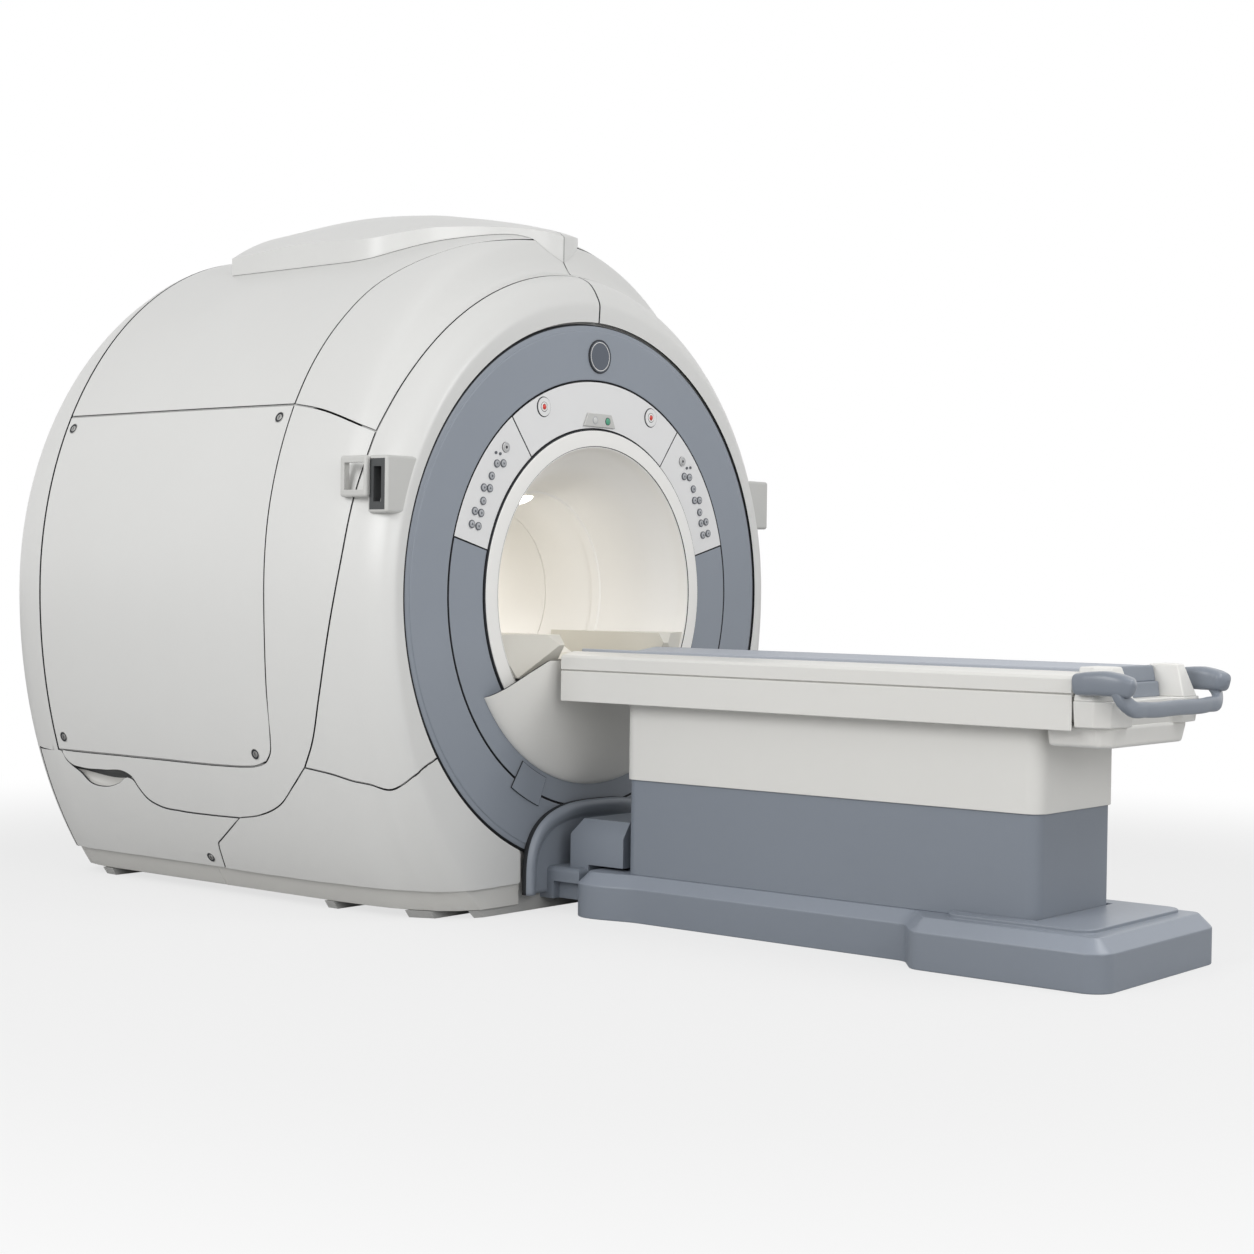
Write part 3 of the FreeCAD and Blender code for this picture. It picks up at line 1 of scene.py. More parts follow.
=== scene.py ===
# %% [markdown]
# # A hospital scanner with its patient table
#
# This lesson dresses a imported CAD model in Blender. The CAD model says where every piece is
# and how it moves. Here the moulded covers are drawn again as smooth surfaces, the edges of
# the other pieces are rounded, and every piece gets its paint, plastic or metal.

# %% Load the frame
import json
import math

import bmesh
import bpy
import numpy as np
from mathutils import Matrix, Vector

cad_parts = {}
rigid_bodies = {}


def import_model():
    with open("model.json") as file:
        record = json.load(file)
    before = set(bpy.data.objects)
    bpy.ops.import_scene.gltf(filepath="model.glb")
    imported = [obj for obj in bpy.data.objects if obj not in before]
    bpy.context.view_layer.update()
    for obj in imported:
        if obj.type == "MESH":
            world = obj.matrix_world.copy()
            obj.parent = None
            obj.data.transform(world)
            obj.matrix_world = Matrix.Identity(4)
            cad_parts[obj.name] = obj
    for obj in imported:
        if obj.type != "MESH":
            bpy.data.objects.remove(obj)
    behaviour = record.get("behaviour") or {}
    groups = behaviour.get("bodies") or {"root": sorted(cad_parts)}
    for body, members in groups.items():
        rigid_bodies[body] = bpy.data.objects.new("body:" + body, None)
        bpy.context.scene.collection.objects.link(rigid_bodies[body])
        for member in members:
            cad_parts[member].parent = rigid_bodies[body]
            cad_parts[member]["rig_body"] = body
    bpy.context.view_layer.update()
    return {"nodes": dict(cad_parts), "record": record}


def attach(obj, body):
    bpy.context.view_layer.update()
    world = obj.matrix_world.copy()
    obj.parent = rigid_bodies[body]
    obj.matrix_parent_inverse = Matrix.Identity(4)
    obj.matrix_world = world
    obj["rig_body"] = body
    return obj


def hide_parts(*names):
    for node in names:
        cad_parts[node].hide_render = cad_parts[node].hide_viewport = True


for startup_thing in list(bpy.data.objects):
    bpy.data.objects.remove(startup_thing)
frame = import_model()
nodes = frame["nodes"]

# %% [markdown]
# ## The camera
#
# The photograph is taken from a little above waist height, in front of the scanner and to
# its left. A camera could be aimed by eye, but then it would be off by an unknown amount.
# Its place, turn and focal length were solved from lines on the object instead, and are
# written here as numbers. Turn, tilt and roll become three unit vectors, and those are the
# columns of the camera's matrix.

# %% Place the camera
FOCAL_PIXELS, PHOTO_PIXELS, SENSOR = 2188, 1254, 36
TURN, TILT, ROLL = (math.radians(angle) for angle in (50.571, -1.232, 0.751))
CAMERA_PLACE = Vector((-5.7748, -4.7728, 1.1158))
ahead = Vector((math.sin(TURN) * math.cos(TILT), math.cos(TURN) * math.cos(TILT), math.sin(TILT)))
level = Vector((math.cos(TURN), -math.sin(TURN), 0))
upward = level.cross(ahead)
right_hand = level * math.cos(ROLL) + upward * math.sin(ROLL)
overhead = upward * math.cos(ROLL) - level * math.sin(ROLL)

camera_data = bpy.data.cameras.new("camera")
camera_data.sensor_width = SENSOR
camera_data.lens = FOCAL_PIXELS / PHOTO_PIXELS * SENSOR
camera = bpy.data.objects.new("camera", camera_data)
camera.matrix_world = Matrix.Translation(CAMERA_PLACE) @ Matrix(
    (right_hand, overhead, -ahead)).transposed().to_4x4()
bpy.context.scene.collection.objects.link(camera)
bpy.context.scene.camera = camera
print("lens", round(camera_data.lens, 2), "mm")

# %% [markdown]
# ## Shader sums
#
# A material is a tree of nodes. Writing each Math node by hand hides the formula that the
# tree works out. This small class wraps a socket and answers to + and *, so that a line
# such as `0.3 + 0.05 * cloud` builds the nodes that do the same.

# %% Wrap a socket
class Wire:
    """The output of a shader node, which can be used in sums."""

    def __init__(self, tree, socket):
        self.tree = tree
        self.socket = socket

    def joined(self, operation, first, second):
        node = self.tree.nodes.new("ShaderNodeMath")
        node.operation = operation
        for place, value in enumerate((first, second)):
            if isinstance(value, Wire):
                self.tree.links.new(value.socket, node.inputs[place])
            else:
                node.inputs[place].default_value = value
        return Wire(self.tree, node.outputs[0])

    def __add__(self, other):
        return self.joined("ADD", self, other)

    __radd__ = __add__

    def __mul__(self, other):
        return self.joined("MULTIPLY", self, other)

    __rmul__ = __mul__

    def atmost(self, other):
        return self.joined("MINIMUM", self, other)


class Material:
    """A Blender material, with methods that add nodes to it."""

    def __init__(self, name):
        self.made = bpy.data.materials.new(name)
        self.made.use_nodes = True
        self.tree = self.made.node_tree
        self.shader = self.tree.nodes["Principled BSDF"]

    def node(self, kind, settings=None, sockets=None, out=0):
        """Adds a node, sets its settings, then gives its sockets their values or links."""
        node = self.tree.nodes.new(kind)
        for name, value in (settings or {}).items():
            setattr(node, name, value)
        for name, value in (sockets or {}).items():
            self.feed(node, name, value)
        return Wire(self.tree, node.outputs[out])

    def feed(self, node, name, value):
        if isinstance(value, Wire):
            self.tree.links.new(value.socket, node.inputs[name])
        elif isinstance(value, tuple) and len(value) == 3 and node.inputs[name].type == "RGBA":
            node.inputs[name].default_value = (*value, 1)
        else:
            node.inputs[name].default_value = value

    def place(self):
        """Object coordinates, which are metres and move with the piece."""
        return self.node("ShaderNodeTexCoord", out=3)

    def noise(self, place, scale, detail, roughness):
        return self.node("ShaderNodeTexNoise", None, {
            "Vector": place, "Scale": scale, "Detail": detail, "Roughness": roughness})

    def bump(self, strength, depth, height):
        return self.node("ShaderNodeBump", None, {
            "Strength": strength, "Distance": depth, "Height": height})

    def blend(self, share, colour, dimming):
        """The colour, blended by a share from 0 to 1 towards a dimmed tone of itself."""
        dimmed = tuple(part * dimming for part in colour)
        return self.node("ShaderNodeMix", {"data_type": "RGBA"},
                         {0: share, 6: colour, 7: dimmed}, out=2)

    def surface(self, **values):
        """Sets sockets of the main shader; a double underscore stands for a space."""
        for name, value in values.items():
            self.feed(self.shader, name.replace("__", " "), value)
        return self.made


def shade(red, green, blue):
    """A colour as a screen shows it, 0 to 255, in the linear light that shaders use."""
    parts = np.array([red, green, blue]) / 255
    light = np.where(parts <= 0.04045, parts / 12.92, ((parts + 0.055) / 1.055) ** 2.4)
    return tuple(float(part) for part in light)


print("mid grey", [round(part, 3) for part in shade(128, 128, 128)])

# %% [markdown]
# ## Moulded and painted covers
#
# Such covers are moulded plastic sprayed with a satin paint. Up close the paint has a fine
# orange-peel texture, and over half a metre its colour drifts by a few percent and its
# polish by a little more. One function makes all of these paints. The drift and the peel are
# noise on Object coordinates, with scales in cells per metre, so they keep their size and
# don't slide when a piece moves.

# %% Mix a satin paint
CLOUDS, DUST = 2.3, 38.0
PEEL_DEPTH = 0.0004


def satin(name, colour, rough, drift, peel=0.12, grain=900.0, coat=0.0):
    """Base colour blended towards a second tone by soft clouds; roughness follows the same
    clouds and a finer noise; a Bump node lifts the normal by orange peel."""
    paint = Material(name)
    place = paint.place()
    clouds = paint.noise(place, CLOUDS, 3.0, 0.55)
    dust = paint.noise(place, DUST, 4.0, 0.6)
    tone = paint.blend(clouds * 0.75 + dust * 0.25, colour, 1 - 1.6 * drift)
    relief = paint.bump(peel, PEEL_DEPTH, paint.noise(place, grain, 2.0, 0.5))
    return paint.surface(Base__Color=tone, Roughness=rough - 0.05 + 0.08 * clouds + 0.03 * dust,
                         Normal=relief, Coat__Weight=coat, Coat__Roughness=0.18)


cover_paint = satin("cover_white", shade(221, 221, 219), rough=0.33, drift=0.03)
plinth_paint = satin("plinth_white", shade(214, 213, 209), rough=0.45, drift=0.03)
ring_paint = satin("ring_blue", shade(144, 151, 161), rough=0.42, drift=0.05)
entry_paint = satin("entry_white", shade(243, 242, 239), rough=0.4, drift=0.02)
table_paint = satin("table_blue", shade(130, 137, 147), rough=0.42, drift=0.05)
# The next blue is painted light: a lighter copy of the table's blue for the upward faces of the
# base.
top_light_paint = satin("blue_top_light", shade(146, 153, 164), rough=0.38, drift=0.05)
grip_paint = satin("grip_blue", shade(128, 135, 145), rough=0.3, drift=0.04)
pale_paint = satin("table_white", shade(226, 225, 221), rough=0.38, drift=0.03)
bore_paint = satin("bore_ivory", shade(240, 238, 234), rough=0.42, drift=0.03)
bridge_paint = satin("bridge_cream", shade(216, 213, 204), rough=0.4, drift=0.03)
panel_paint = satin("panel_grey", shade(232, 232, 232), rough=0.4, drift=0.02)
cradle_paint = satin("cradle_grey", shade(176, 181, 190), rough=0.5, drift=0.05, peel=0.25,
                     grain=420.0)
handle_paint = satin("handle_grey", shade(201, 201, 198), rough=0.4, drift=0.04)
# slot_dark is painted shade for the insides of the handle slots and the scoop.
slot_shade_paint = satin("slot_dark", shade(70, 72, 73), rough=0.55, drift=0.08)
key_paint = satin("key_dark", shade(92, 96, 102), rough=0.34, drift=0.05)
stop_paint = satin("stop_red", shade(214, 58, 48), rough=0.25, drift=0.03, coat=0.3)
button_paint = satin("button_grey", shade(198, 198, 198), rough=0.35, drift=0.03)
badge_paint = satin("badge_slate", shade(84, 91, 102), rough=0.3, drift=0.04)
# seam_shadow is painted shade: a near-black paint for the walls, bevels, grooves and recesses at
# joints, so that the gaps read dark.
seam_shade_paint = satin("seam_shadow", shade(40, 42, 46), rough=0.75, drift=0.04, peel=0.05)
mark_paint = satin("mark_grey", shade(176, 178, 182), rough=0.4, drift=0.03)
foot_paint = satin("foot_grey", shade(188, 188, 186), rough=0.6, drift=0.05)
frame_paint = satin("frame_paint", shade(74, 78, 82), rough=0.6, drift=0.1, grain=300.0)
resin = satin("coil_resin", shade(150, 140, 110), rough=0.5, drift=0.12, grain=260.0)
print("paints", len(bpy.data.materials))

# %% [markdown]
# ## Metal and light
#
# Brushed metal has fine streaks along one direction. Stretching a noise along that
# direction with a Mapping node gives them. The lamp in the ceiling of the bore is a
# diffuser that glows evenly, a little warmer than white.

# %% Mix the metals and the glowing diffuser
def brushed(name, colour, rough):
    """Metal whose roughness and relief follow noise that is squeezed along one axis."""
    metal = Material(name)
    along = metal.node("ShaderNodeMapping", None, {"Vector": metal.place(), "Scale": (1, 1, 60)})
    streaks = metal.noise(along, 18.0, 5.0, 0.65)
    return metal.surface(Base__Color=metal.blend(streaks, colour, 0.8), Metallic=1.0,
                         Roughness=rough - 0.06 + 0.12 * streaks,
                         Normal=metal.bump(0.15, 0.0003, streaks))


steel = brushed("screw_steel", shade(176, 176, 174), 0.32)
vessel_metal = brushed("vessel_steel", shade(190, 191, 192), 0.4)
column_metal = brushed("column_aluminium", shade(200, 202, 204), 0.38)


def glowing(name, colour, strength):
    """A diffuser: its light is a touch stronger in the middle of faint lens ribs."""
    glass = Material(name)
    ribs = glass.node("ShaderNodeTexWave", {"wave_type": "BANDS", "bands_direction": "X"},
                      {"Vector": glass.place(), "Scale": 60.0, "Distortion": 0.0})
    tone = glass.blend(ribs * 0.25, colour, 0.9)
    return glass.surface(Base__Color=tone, Emission__Color=tone, Emission__Strength=strength,
                         Roughness=0.3 + 0.05 * ribs)


lens_clear = satin("lens_clear", shade(205, 206, 204), rough=0.15, drift=0.02, coat=0.5)
lamp_glow = glowing("lamp_white", shade(255, 250, 238), 6.0)
lens_glow = glowing("lens_green", shade(70, 140, 112), 0.25)
print("metals and lamps ready")

# %% [markdown]
# ## From arrays to pieces
#
# Every new piece starts as numpy arrays of corners and faces.

# %% Turn grids into meshes
def grid_faces(rows, columns, start=0, closed=False):
    """Four-cornered faces between neighbouring points of a grid, as an array of indices."""
    index = np.arange(rows * columns).reshape(rows, columns) + start
    if closed:
        index = np.hstack([index, index[:, :1]])
    corners = (index[:-1, :-1], index[1:, :-1], index[1:, 1:], index[:-1, 1:])
    return np.stack([corner.ravel() for corner in corners], axis=1)


def sheets(*grids, closed=False):
    """Several grids of points as one list of points and one of faces."""
    points, faces, start = [], [], 0
    for grid in grids:
        rows, columns = grid.shape[:2]
        points.append(grid.reshape(-1, 3))
        faces.append(grid_faces(rows, columns, start, closed))
        start += rows * columns
    return np.vstack(points), np.vstack(faces)


def facing(points, faces, wanted):
    """The faces, turned over if on the whole they look against what wanted(middles) gives."""
    corners = points[faces]
    normal = np.cross(corners[:, 2] - corners[:, 0], corners[:, 3] - corners[:, 1])
    against = (normal * wanted(corners.mean(axis=1))).sum() < 0
    return faces[:, ::-1] if against else faces


def outward(middle):
    """Directions away from the middle of the drum."""
    return middle - np.array([0, FACE + 1.0, CENTRE])


def to_axis(middle):
    """Directions square to the bore's axis and towards it."""
    return (np.array([0, 0, CENTRE]) - middle) * np.array([1, 0, 1])


def frontward(middle):
    return np.array([0, -1, 0])


def smoothed(work, sharp):
    """Smooth shading for a bmesh, with hard edges where it turns by more than an angle."""
    for face in work.faces:
        face.smooth = True
    for edge in work.edges:
        edge.smooth = edge.calc_face_angle(0.0) < sharp


def placed(name, mesh, paints):
    """An object in the scene with this mesh and these paints."""
    for paint in paints:
        mesh.materials.append(paint)
    made = bpy.data.objects.new(name, mesh)
    bpy.context.scene.collection.objects.link(made)
    return made


def rounded(made, label, width, count, sharp):
    """A Bevel modifier on every edge that is sharper than an angle."""
    rounding = made.modifiers.new(label, "BEVEL")
    rounding.width, rounding.segments = width, count
    rounding.limit_method, rounding.angle_limit = "ANGLE", sharp
    rounding.harden_normals = True
    return rounding


def build(name, points, faces, body, cad_nodes, slot_name, paints, wall=0.0, bevel=0.0,
          steps=3, angle=40, first_bevel=0.0, which=None, weld=0.00005, solid=False):
    """A mesh object on a body. Doubled corners are merged; then come an optional wide bevel,
    a wall inwards whose rim takes the last paint, and a small bevel on sharp edges. A solid
    piece gets all its faces turned outwards."""
    mesh = bpy.data.meshes.new(name)
    mesh.from_pydata(points.tolist(), [], [list(face) for face in faces])
    if which is not None:
        mesh.polygons.foreach_set("material_index", np.asarray(which, np.int32))
    work = bmesh.new()
    work.from_mesh(mesh)
    bmesh.ops.remove_doubles(work, verts=work.verts, dist=weld)
    bmesh.ops.dissolve_degenerate(work, edges=work.edges, dist=weld)
    if solid:
        bmesh.ops.recalc_face_normals(work, faces=work.faces)
    sharp = math.radians(angle)
    smoothed(work, sharp)
    work.to_mesh(mesh)
    work.free()
    made = placed(name, mesh, paints)
    if first_bevel:
        rounded(made, "wide_round", first_bevel, 6, sharp)
    if wall:
        thick = made.modifiers.new("wall", "SOLIDIFY")
        thick.thickness, thick.offset, thick.use_even_offset = wall, -1, False
        thick.material_offset_rim = len(paints) - 1
    if bevel:
        rounded(made, "edge_round", bevel, steps, sharp)
    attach(made, body)
    if cad_nodes:
        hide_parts(*cad_nodes)


SCANNER, TABLE = "scanner_and_base", "table_top"
CENTRE, FACE = 1.065, 0.115
print("ring face lies at y", FACE, "and the bore's axis at z", CENTRE)

# %% [markdown]
# ## The drum's skin
#
# The drum is wide behind and rolls over to a lip round the front ring. Its section across
# the bore is an ellipse above the axis and a deeper one below. The photograph gives the
# half width, top and bottom at a few depths. A curve that never overshoots joins those
# stations, so the skin has no creases. A place on the skin is a pair (s, angle): s runs
# along the drum from the ring's edge, and angle is measured up from the side.

# %% Join the stations smoothly
STATIONS = np.array([
    (0.003, 0.9315, 0.9315, 0.9315), (0.000, 0.962, 0.990, 1.200), (0.015, 0.989, 1.030, 1.265),
    (0.050, 1.010, 1.075, 1.330), (0.100, 1.024, 1.100, 1.385), (0.137, 1.030, 1.112, 1.400),
    (0.165, 1.034, 1.150, 1.420), (0.210, 1.040, 1.235, 1.450), (0.260, 1.046, 1.258, 1.465),
    (0.330, 1.050, 1.267, 1.478), (0.500, 1.055, 1.275, 1.490), (1.720, 1.055, 1.275, 1.490),
    (1.800, 1.048, 1.250, 1.480), (1.860, 1.035, 1.215, 1.468), (1.910, 1.007, 1.163, 1.438),
    (1.950, 0.950, 1.095, 1.380)])
REAR = STATIONS[-1, 0]


def lengths_along(points):
    """How far each point lies from the first, along the line through all of them."""
    return np.concatenate([[0.0], np.cumsum(np.linalg.norm(np.diff(points, axis=0), axis=1))])


KNOTS = lengths_along(STATIONS[:, :2])


def cubic(t, long, ends, slopes):
    """The cubic with these ends and slopes, at the share t of a stretch that is so long."""
    return ((1 + 2 * t) * (1 - t) ** 2 * ends[0] + t * (1 - t) ** 2 * long * slopes[0]
            + t * t * (3 - 2 * t) * ends[1] + t * t * (t - 1) * long * slopes[1])


def even_curve(at, knots, values):
    """A cubic between each two knots. Its slope at a knot is the weighted harmonic mean of
    the rises on both sides, or zero where they differ in sign, so it never overshoots."""
    width = np.diff(knots)
    rise = np.diff(values) / width
    near, far = 2 * width[1:] + width[:-1], width[1:] + 2 * width[:-1]
    agree = rise[:-1] * rise[1:] > 0
    safe = np.where(agree, rise[:-1], 1.0), np.where(agree, rise[1:], 1.0)
    slope = np.zeros(len(values))
    slope[1:-1] = np.where(agree, (near + far) / (near / safe[0] + far / safe[1]), 0.0)
    slope[0], slope[-1] = rise[0], rise[-1]
    cell = np.clip(np.searchsorted(knots, at, side="right") - 1, 0, len(width) - 1)
    return cubic((at - knots[cell]) / width[cell], width[cell],
                 (values[cell], values[cell + 1]), (slope[cell], slope[cell + 1]))


def reaches(s):
    """Depth, half width, top and bottom of the section at s."""
    return [even_curve(s, KNOTS, STATIONS[:, column]) for column in range(4)]


def skin(place):
    """Points of the left half of the skin: x = -width cos(angle), and z = centre + top
    sin(angle) above the axis or bottom sin(angle) below it."""
    s, angle = place[..., 0], place[..., 1]
    depth, width, top, bottom = reaches(s)
    lift = np.sin(angle) * np.where(angle > 0, top, bottom)
    return np.stack([-width * np.cos(angle), FACE + depth, CENTRE + lift], axis=-1)


table_s = np.linspace(KNOTS[1], KNOTS[-1], 4000)
table_depth = reaches(table_s)[0]


def at_depth(depth):
    """The s at which the skin has this depth behind the ring's face."""
    return np.interp(depth, table_depth, table_s)


def spot(depth, rise):
    """The (s, angle) of a point of the side view: its depth and its height over the axis."""
    s = at_depth(np.asarray(depth, float))
    _, _, top, bottom = reaches(s)
    rise = np.asarray(rise, float)
    return np.stack([s, np.arcsin(np.clip(rise / np.where(rise > 0, top, bottom), -1, 1))], -1)


print("skin is", round(float(KNOTS[-1]), 3), "m long along its side")

# %% [markdown]
# ## Seams
#
# The joints between the covers are curves on the skin. Each is a list of points read from
# the side view, in millimetres, joined smoothly. Only the low end of the front lip, the vee,
# is given in s and degrees, as it runs round the lip. A cover lies between four such curves
# like cloth in a frame: this is a Coons patch, and the covers fit each other because
# neighbours share their curve.

# %% Write down the seams
def through(points, count=120):
    """A smooth line through points: cubics whose slopes come from the neighbours."""
    points = np.asarray(points, float)
    knots = lengths_along(points)
    slopes = np.gradient(points, knots, axis=0)
    at = np.linspace(0, knots[-1], count)
    cell = np.clip(np.searchsorted(knots, at, side="right") - 1, 0, len(knots) - 2)
    long = np.diff(knots)[cell][:, None]
    return cubic((at - knots[cell])[:, None] / long, long,
                 (points[cell], points[cell + 1]), (slopes[cell], slopes[cell + 1]))


def seam(*points):
    """A seam on the skin from side-view points in millimetres."""
    line = through(np.array(points) / 1000)
    return spot(line[:, 0], line[:, 1])


RIM_END = np.radians(-34.3)
front_edge_top = seam((100, 1100), (103, 1000), (112, 860), (120, 760), (130, 660), (140, 560),
                      (146, 512))
front_edge_low = seam((146, 512), (150, 420), (160, 310), (180, 100), (220, -90), (290, -340),
                      (350, -490), (403, -570))
shoulder_foot = seam((146, 512), (250, 550), (390, 590), (522, 612))
arch = seam((205, 1228), (210, 1222), (300, 1178), (390, 1120), (460, 1040), (500, 900),
            (517, 760), (522, 612))
panel_head = seam((522, 612), (900, 614), (1720, 615))
panel_front = seam((522, 612), (522, 300), (520, -200), (528, -320), (541, -470), (556, -530),
                   (585, -562))
panel_foot = seam((585, -562), (640, -580), (720, -588), (800, -590), (1200, -590),
                  (1700, -590))
side_foot = seam((403, -570), (470, -630), (570, -708), (690, -752), (800, -770))
HEEL = ((800, -770), (960, -772), (1110, -770), (1220, -760), (1275, -738), (1308, -700))
TOE = ((1665, -640), (1692, -618), (1700, -592))
foot_rear = seam(*HEEL, (1330, -664), (1356, -652), (1480, -650), (1610, -650), *TOE)
foot_scoop = seam(*HEEL, (1326, -672), (1352, -664), (1410, -688), (1500, -708), (1590, -694),
                  (1622, -664), *TOE)
diagonal = seam((800, -770), (880, -820), (950, -863), (966, -873), (970, -882), (980, -925),
                (990, -969))
VEE = np.array([(0.335, -23.5), (0.231, -25.1), (0.163, -26.5), (0.117, -27.4), (0.082, -27.5),
                (0.048, -27.6), (0.031, -27.9), (0.018, -29.6), (0.008, -32.1)])
vee = through(np.vstack([spot(0.403, -0.570), np.stack([VEE[:, 0], np.radians(VEE[:, 1])], -1),
                         (0.0, RIM_END)]), 200)
print("seams ready; front edge meets the roof at", front_edge_top[0].round(3))

# %% [markdown]
# ## Covers between four seams
#
# The patch blends the two long edges, adds the two short ones and takes away the corners
# that were counted twice. Its outer row and column are then drawn in by half the gap, which
# leaves a dark joint. A wall inwards and a small bevel make each cover a moulded shell; the
# wall's rim takes a near-black paint, painted shade that darkens the joint.
# Blender's limit against overlaps narrows a bevel where cells are fine: as measured, it
# is full on the top, access and low rear covers, but under a fifth of a millimetre on the
# front, side and low front covers, whose edges stay sharp.

# %% Stretch a cover between seams
HALF_GAP = 0.0034
CELL = 0.014
SHELL = {"wall": 0.007, "bevel": 0.003}


def resampled(line, count):
    """The same line on the skin with points at equal distances."""
    far = lengths_along(skin(line))
    at = np.linspace(0, far[-1], count)
    return np.stack([np.interp(at, far, line[:, 0]), np.interp(at, far, line[:, 1])], -1)


def length_of(line):
    return lengths_along(skin(line))[-1]


def coons(inner, outer, start, end):
    """Blend of inner and outer, plus blend of start and end, minus the blend of corners."""
    u = np.linspace(0, 1, len(inner))[:, None, None]
    v = np.linspace(0, 1, len(start))[None, :, None]
    across = (1 - v) * inner[:, None] + v * outer[:, None]
    down = (1 - u) * start[None] + u * end[None]
    corners = ((1 - u) * ((1 - v) * inner[0] + v * outer[0])
               + u * ((1 - v) * inner[-1] + v * outer[-1]))
    return across + down - corners


def drawn_in(grid):
    """Moves the outer rows and columns of an (s, angle) grid in by half the joint's gap."""
    grid = grid.copy()
    columns = grid.swapaxes(0, 1)
    for turned in (grid, grid[::-1], columns, columns[::-1]):
        cell = np.linalg.norm(skin(turned[1]) - skin(turned[0]), axis=-1)
        share = np.clip(HALF_GAP / np.maximum(cell, 1e-6), 0, 0.6)[:, None]
        turned[0] = turned[0] + (turned[1] - turned[0]) * share
    return grid


def trimmed(grid, lowest):
    """Each row of the grid ends where it first dips below the lowest allowed angle, and its
    points are spread again over what is left."""
    columns = grid.shape[1]
    margin = grid[..., 1] - lowest(grid[..., 0]) + 0.0008
    below = margin < 0
    crossed = below.any(axis=1)
    first = np.where(crossed, below.argmax(axis=1), columns - 1)
    rows = np.arange(len(grid))
    before = np.maximum(first - 1, 0)
    drop = np.maximum(margin[rows, before] - margin[rows, first], 1e-9)
    last = np.where(crossed, before + margin[rows, before] / drop, columns - 1.0)
    at = np.linspace(0, 1, columns)[None] * last[:, None]
    cell = np.minimum(at.astype(int), columns - 2)
    part = (at - cell)[..., None]
    grid = (1 - part) * grid[rows[:, None], cell] + part * grid[rows[:, None], cell + 1]
    grid[..., 1] = np.maximum(grid[..., 1], lowest(grid[..., 0]))
    return grid


def pair(name, cad_name, points, faces, paints, **options):
    """A cover on the left and its mirror image on the right."""
    for side, sign in (("left", 1), ("right", -1)):
        build(f"{name}_{side}", points * np.array([sign, 1, 1]), [face[::sign] for face in faces],
              SCANNER, [f"{cad_name}_{side}"] if cad_name else [], "cover_white", paints,
              **options)


def moulded(name, grid):
    """A pair of shells from an (s, angle) grid, with a joint all round."""
    points, faces = sheets(skin(drawn_in(grid)))
    # The rim of each shell takes the seam shadow paint: painted shade in the joint round the cover.
    pair(name + "_cover", name, points, facing(points, faces, outward),
         [cover_paint, seam_shade_paint], **SHELL)


def cover(name, inner, outer, start, end, lowest=None):
    """A pair of covers; inner and outer run alongside each other, start and end join them.
    lowest gives, for each s, the smallest angle that the cover may reach."""
    rows = max(6, int(max(length_of(inner), length_of(outer)) / CELL))
    columns = max(6, int(max(length_of(start), length_of(end)) / CELL))
    grid = coons(resampled(inner, rows), resampled(outer, rows), resampled(start, columns),
                 resampled(end, columns))
    if lowest is not None:
        grid = trimmed(grid, lowest)
    moulded(name, grid)
    print(name, rows, "x", columns)


TOP = np.radians(90)


def ridge(start, end):
    """The line along the very top between two values of s."""
    return np.stack([np.linspace(start, end, 60), np.full(60, TOP)], -1)


front_edge_top[0, 1] = TOP
arch[0, 1] = TOP
rim = np.stack([np.zeros(200), np.linspace(TOP, RIM_END, 200)], -1)
front_edge = np.vstack([front_edge_top[:-1], front_edge_low])
cover("front_cover", rim, front_edge, ridge(0, front_edge[0, 0]), vee[::-1])
cover("shoulder_cover", front_edge_top, arch, ridge(front_edge[0, 0], arch[0, 0]), shoulder_foot)
PANEL_END, LOW_END = 1.720, 1.860
rear_s = at_depth(PANEL_END)
roof_rear = np.stack([np.full(80, rear_s), np.linspace(TOP, panel_head[-1, 1], 80)], -1)
cover("top_cover", arch, roof_rear, ridge(arch[0, 0], rear_s), panel_head)
panel_rear = seam((1720, 615), (1720, 200), (1720, -590))
cover("access_panel", panel_front, panel_rear, panel_head, np.vstack(
    [panel_foot[:-1], seam((1700, -590), (1720, -590))]))

# %% [markdown]
# ## The J-shaped side cover and the two low covers
#
# The side cover runs down beside the front lip and turns under the panel. Its two long
# edges are cut into stretches that belong together, so that the rows of the grid follow the
# bend. The low rear cover has the shallow scoop where fingers pull it off.

# %% Stretch the side and low covers
def strip(pairs, counts):
    """A grid ruled between two long edges that are given as matching stretches."""
    inner, outer = (np.vstack([resampled(stretches[side], count)[:-1]
                               for stretches, count in zip(pairs, counts)]
                              + [pairs[-1][side][-1:]]) for side in (0, 1))
    v = np.linspace(0, 1, 14)[None, :, None]
    return (1 - v) * inner[:, None] + v * outer[:, None]


panel_low = seam((541, -470), (556, -530), (585, -562), (640, -580), (720, -588))
panel_under = seam((720, -588), (800, -590), (1200, -590), (1700, -590))
panel_down = seam((522, 612), (522, 300), (520, -200), (528, -320), (541, -470))
side_grid = strip([(front_edge_low, panel_down), (side_foot, panel_low),
                   (foot_rear, panel_under)], (90, 46, 90))
BEND_ROWS = 16
fade = np.clip(1 - np.arange(side_grid.shape[0]) / BEND_ROWS, 0, 1)[:, None, None] ** 1.5
head_line = resampled(shoulder_foot, side_grid.shape[1])[None]
moulded("side_frame", side_grid + fade * (head_line - side_grid[:1]))

SKIRT, COLLAR_SIDE = -0.969, 0.368


def height_angle(s):
    """The angle at which the skin meets the skirt's height."""
    return np.arcsin(np.clip(SKIRT / reaches(s)[3], -1, 0))


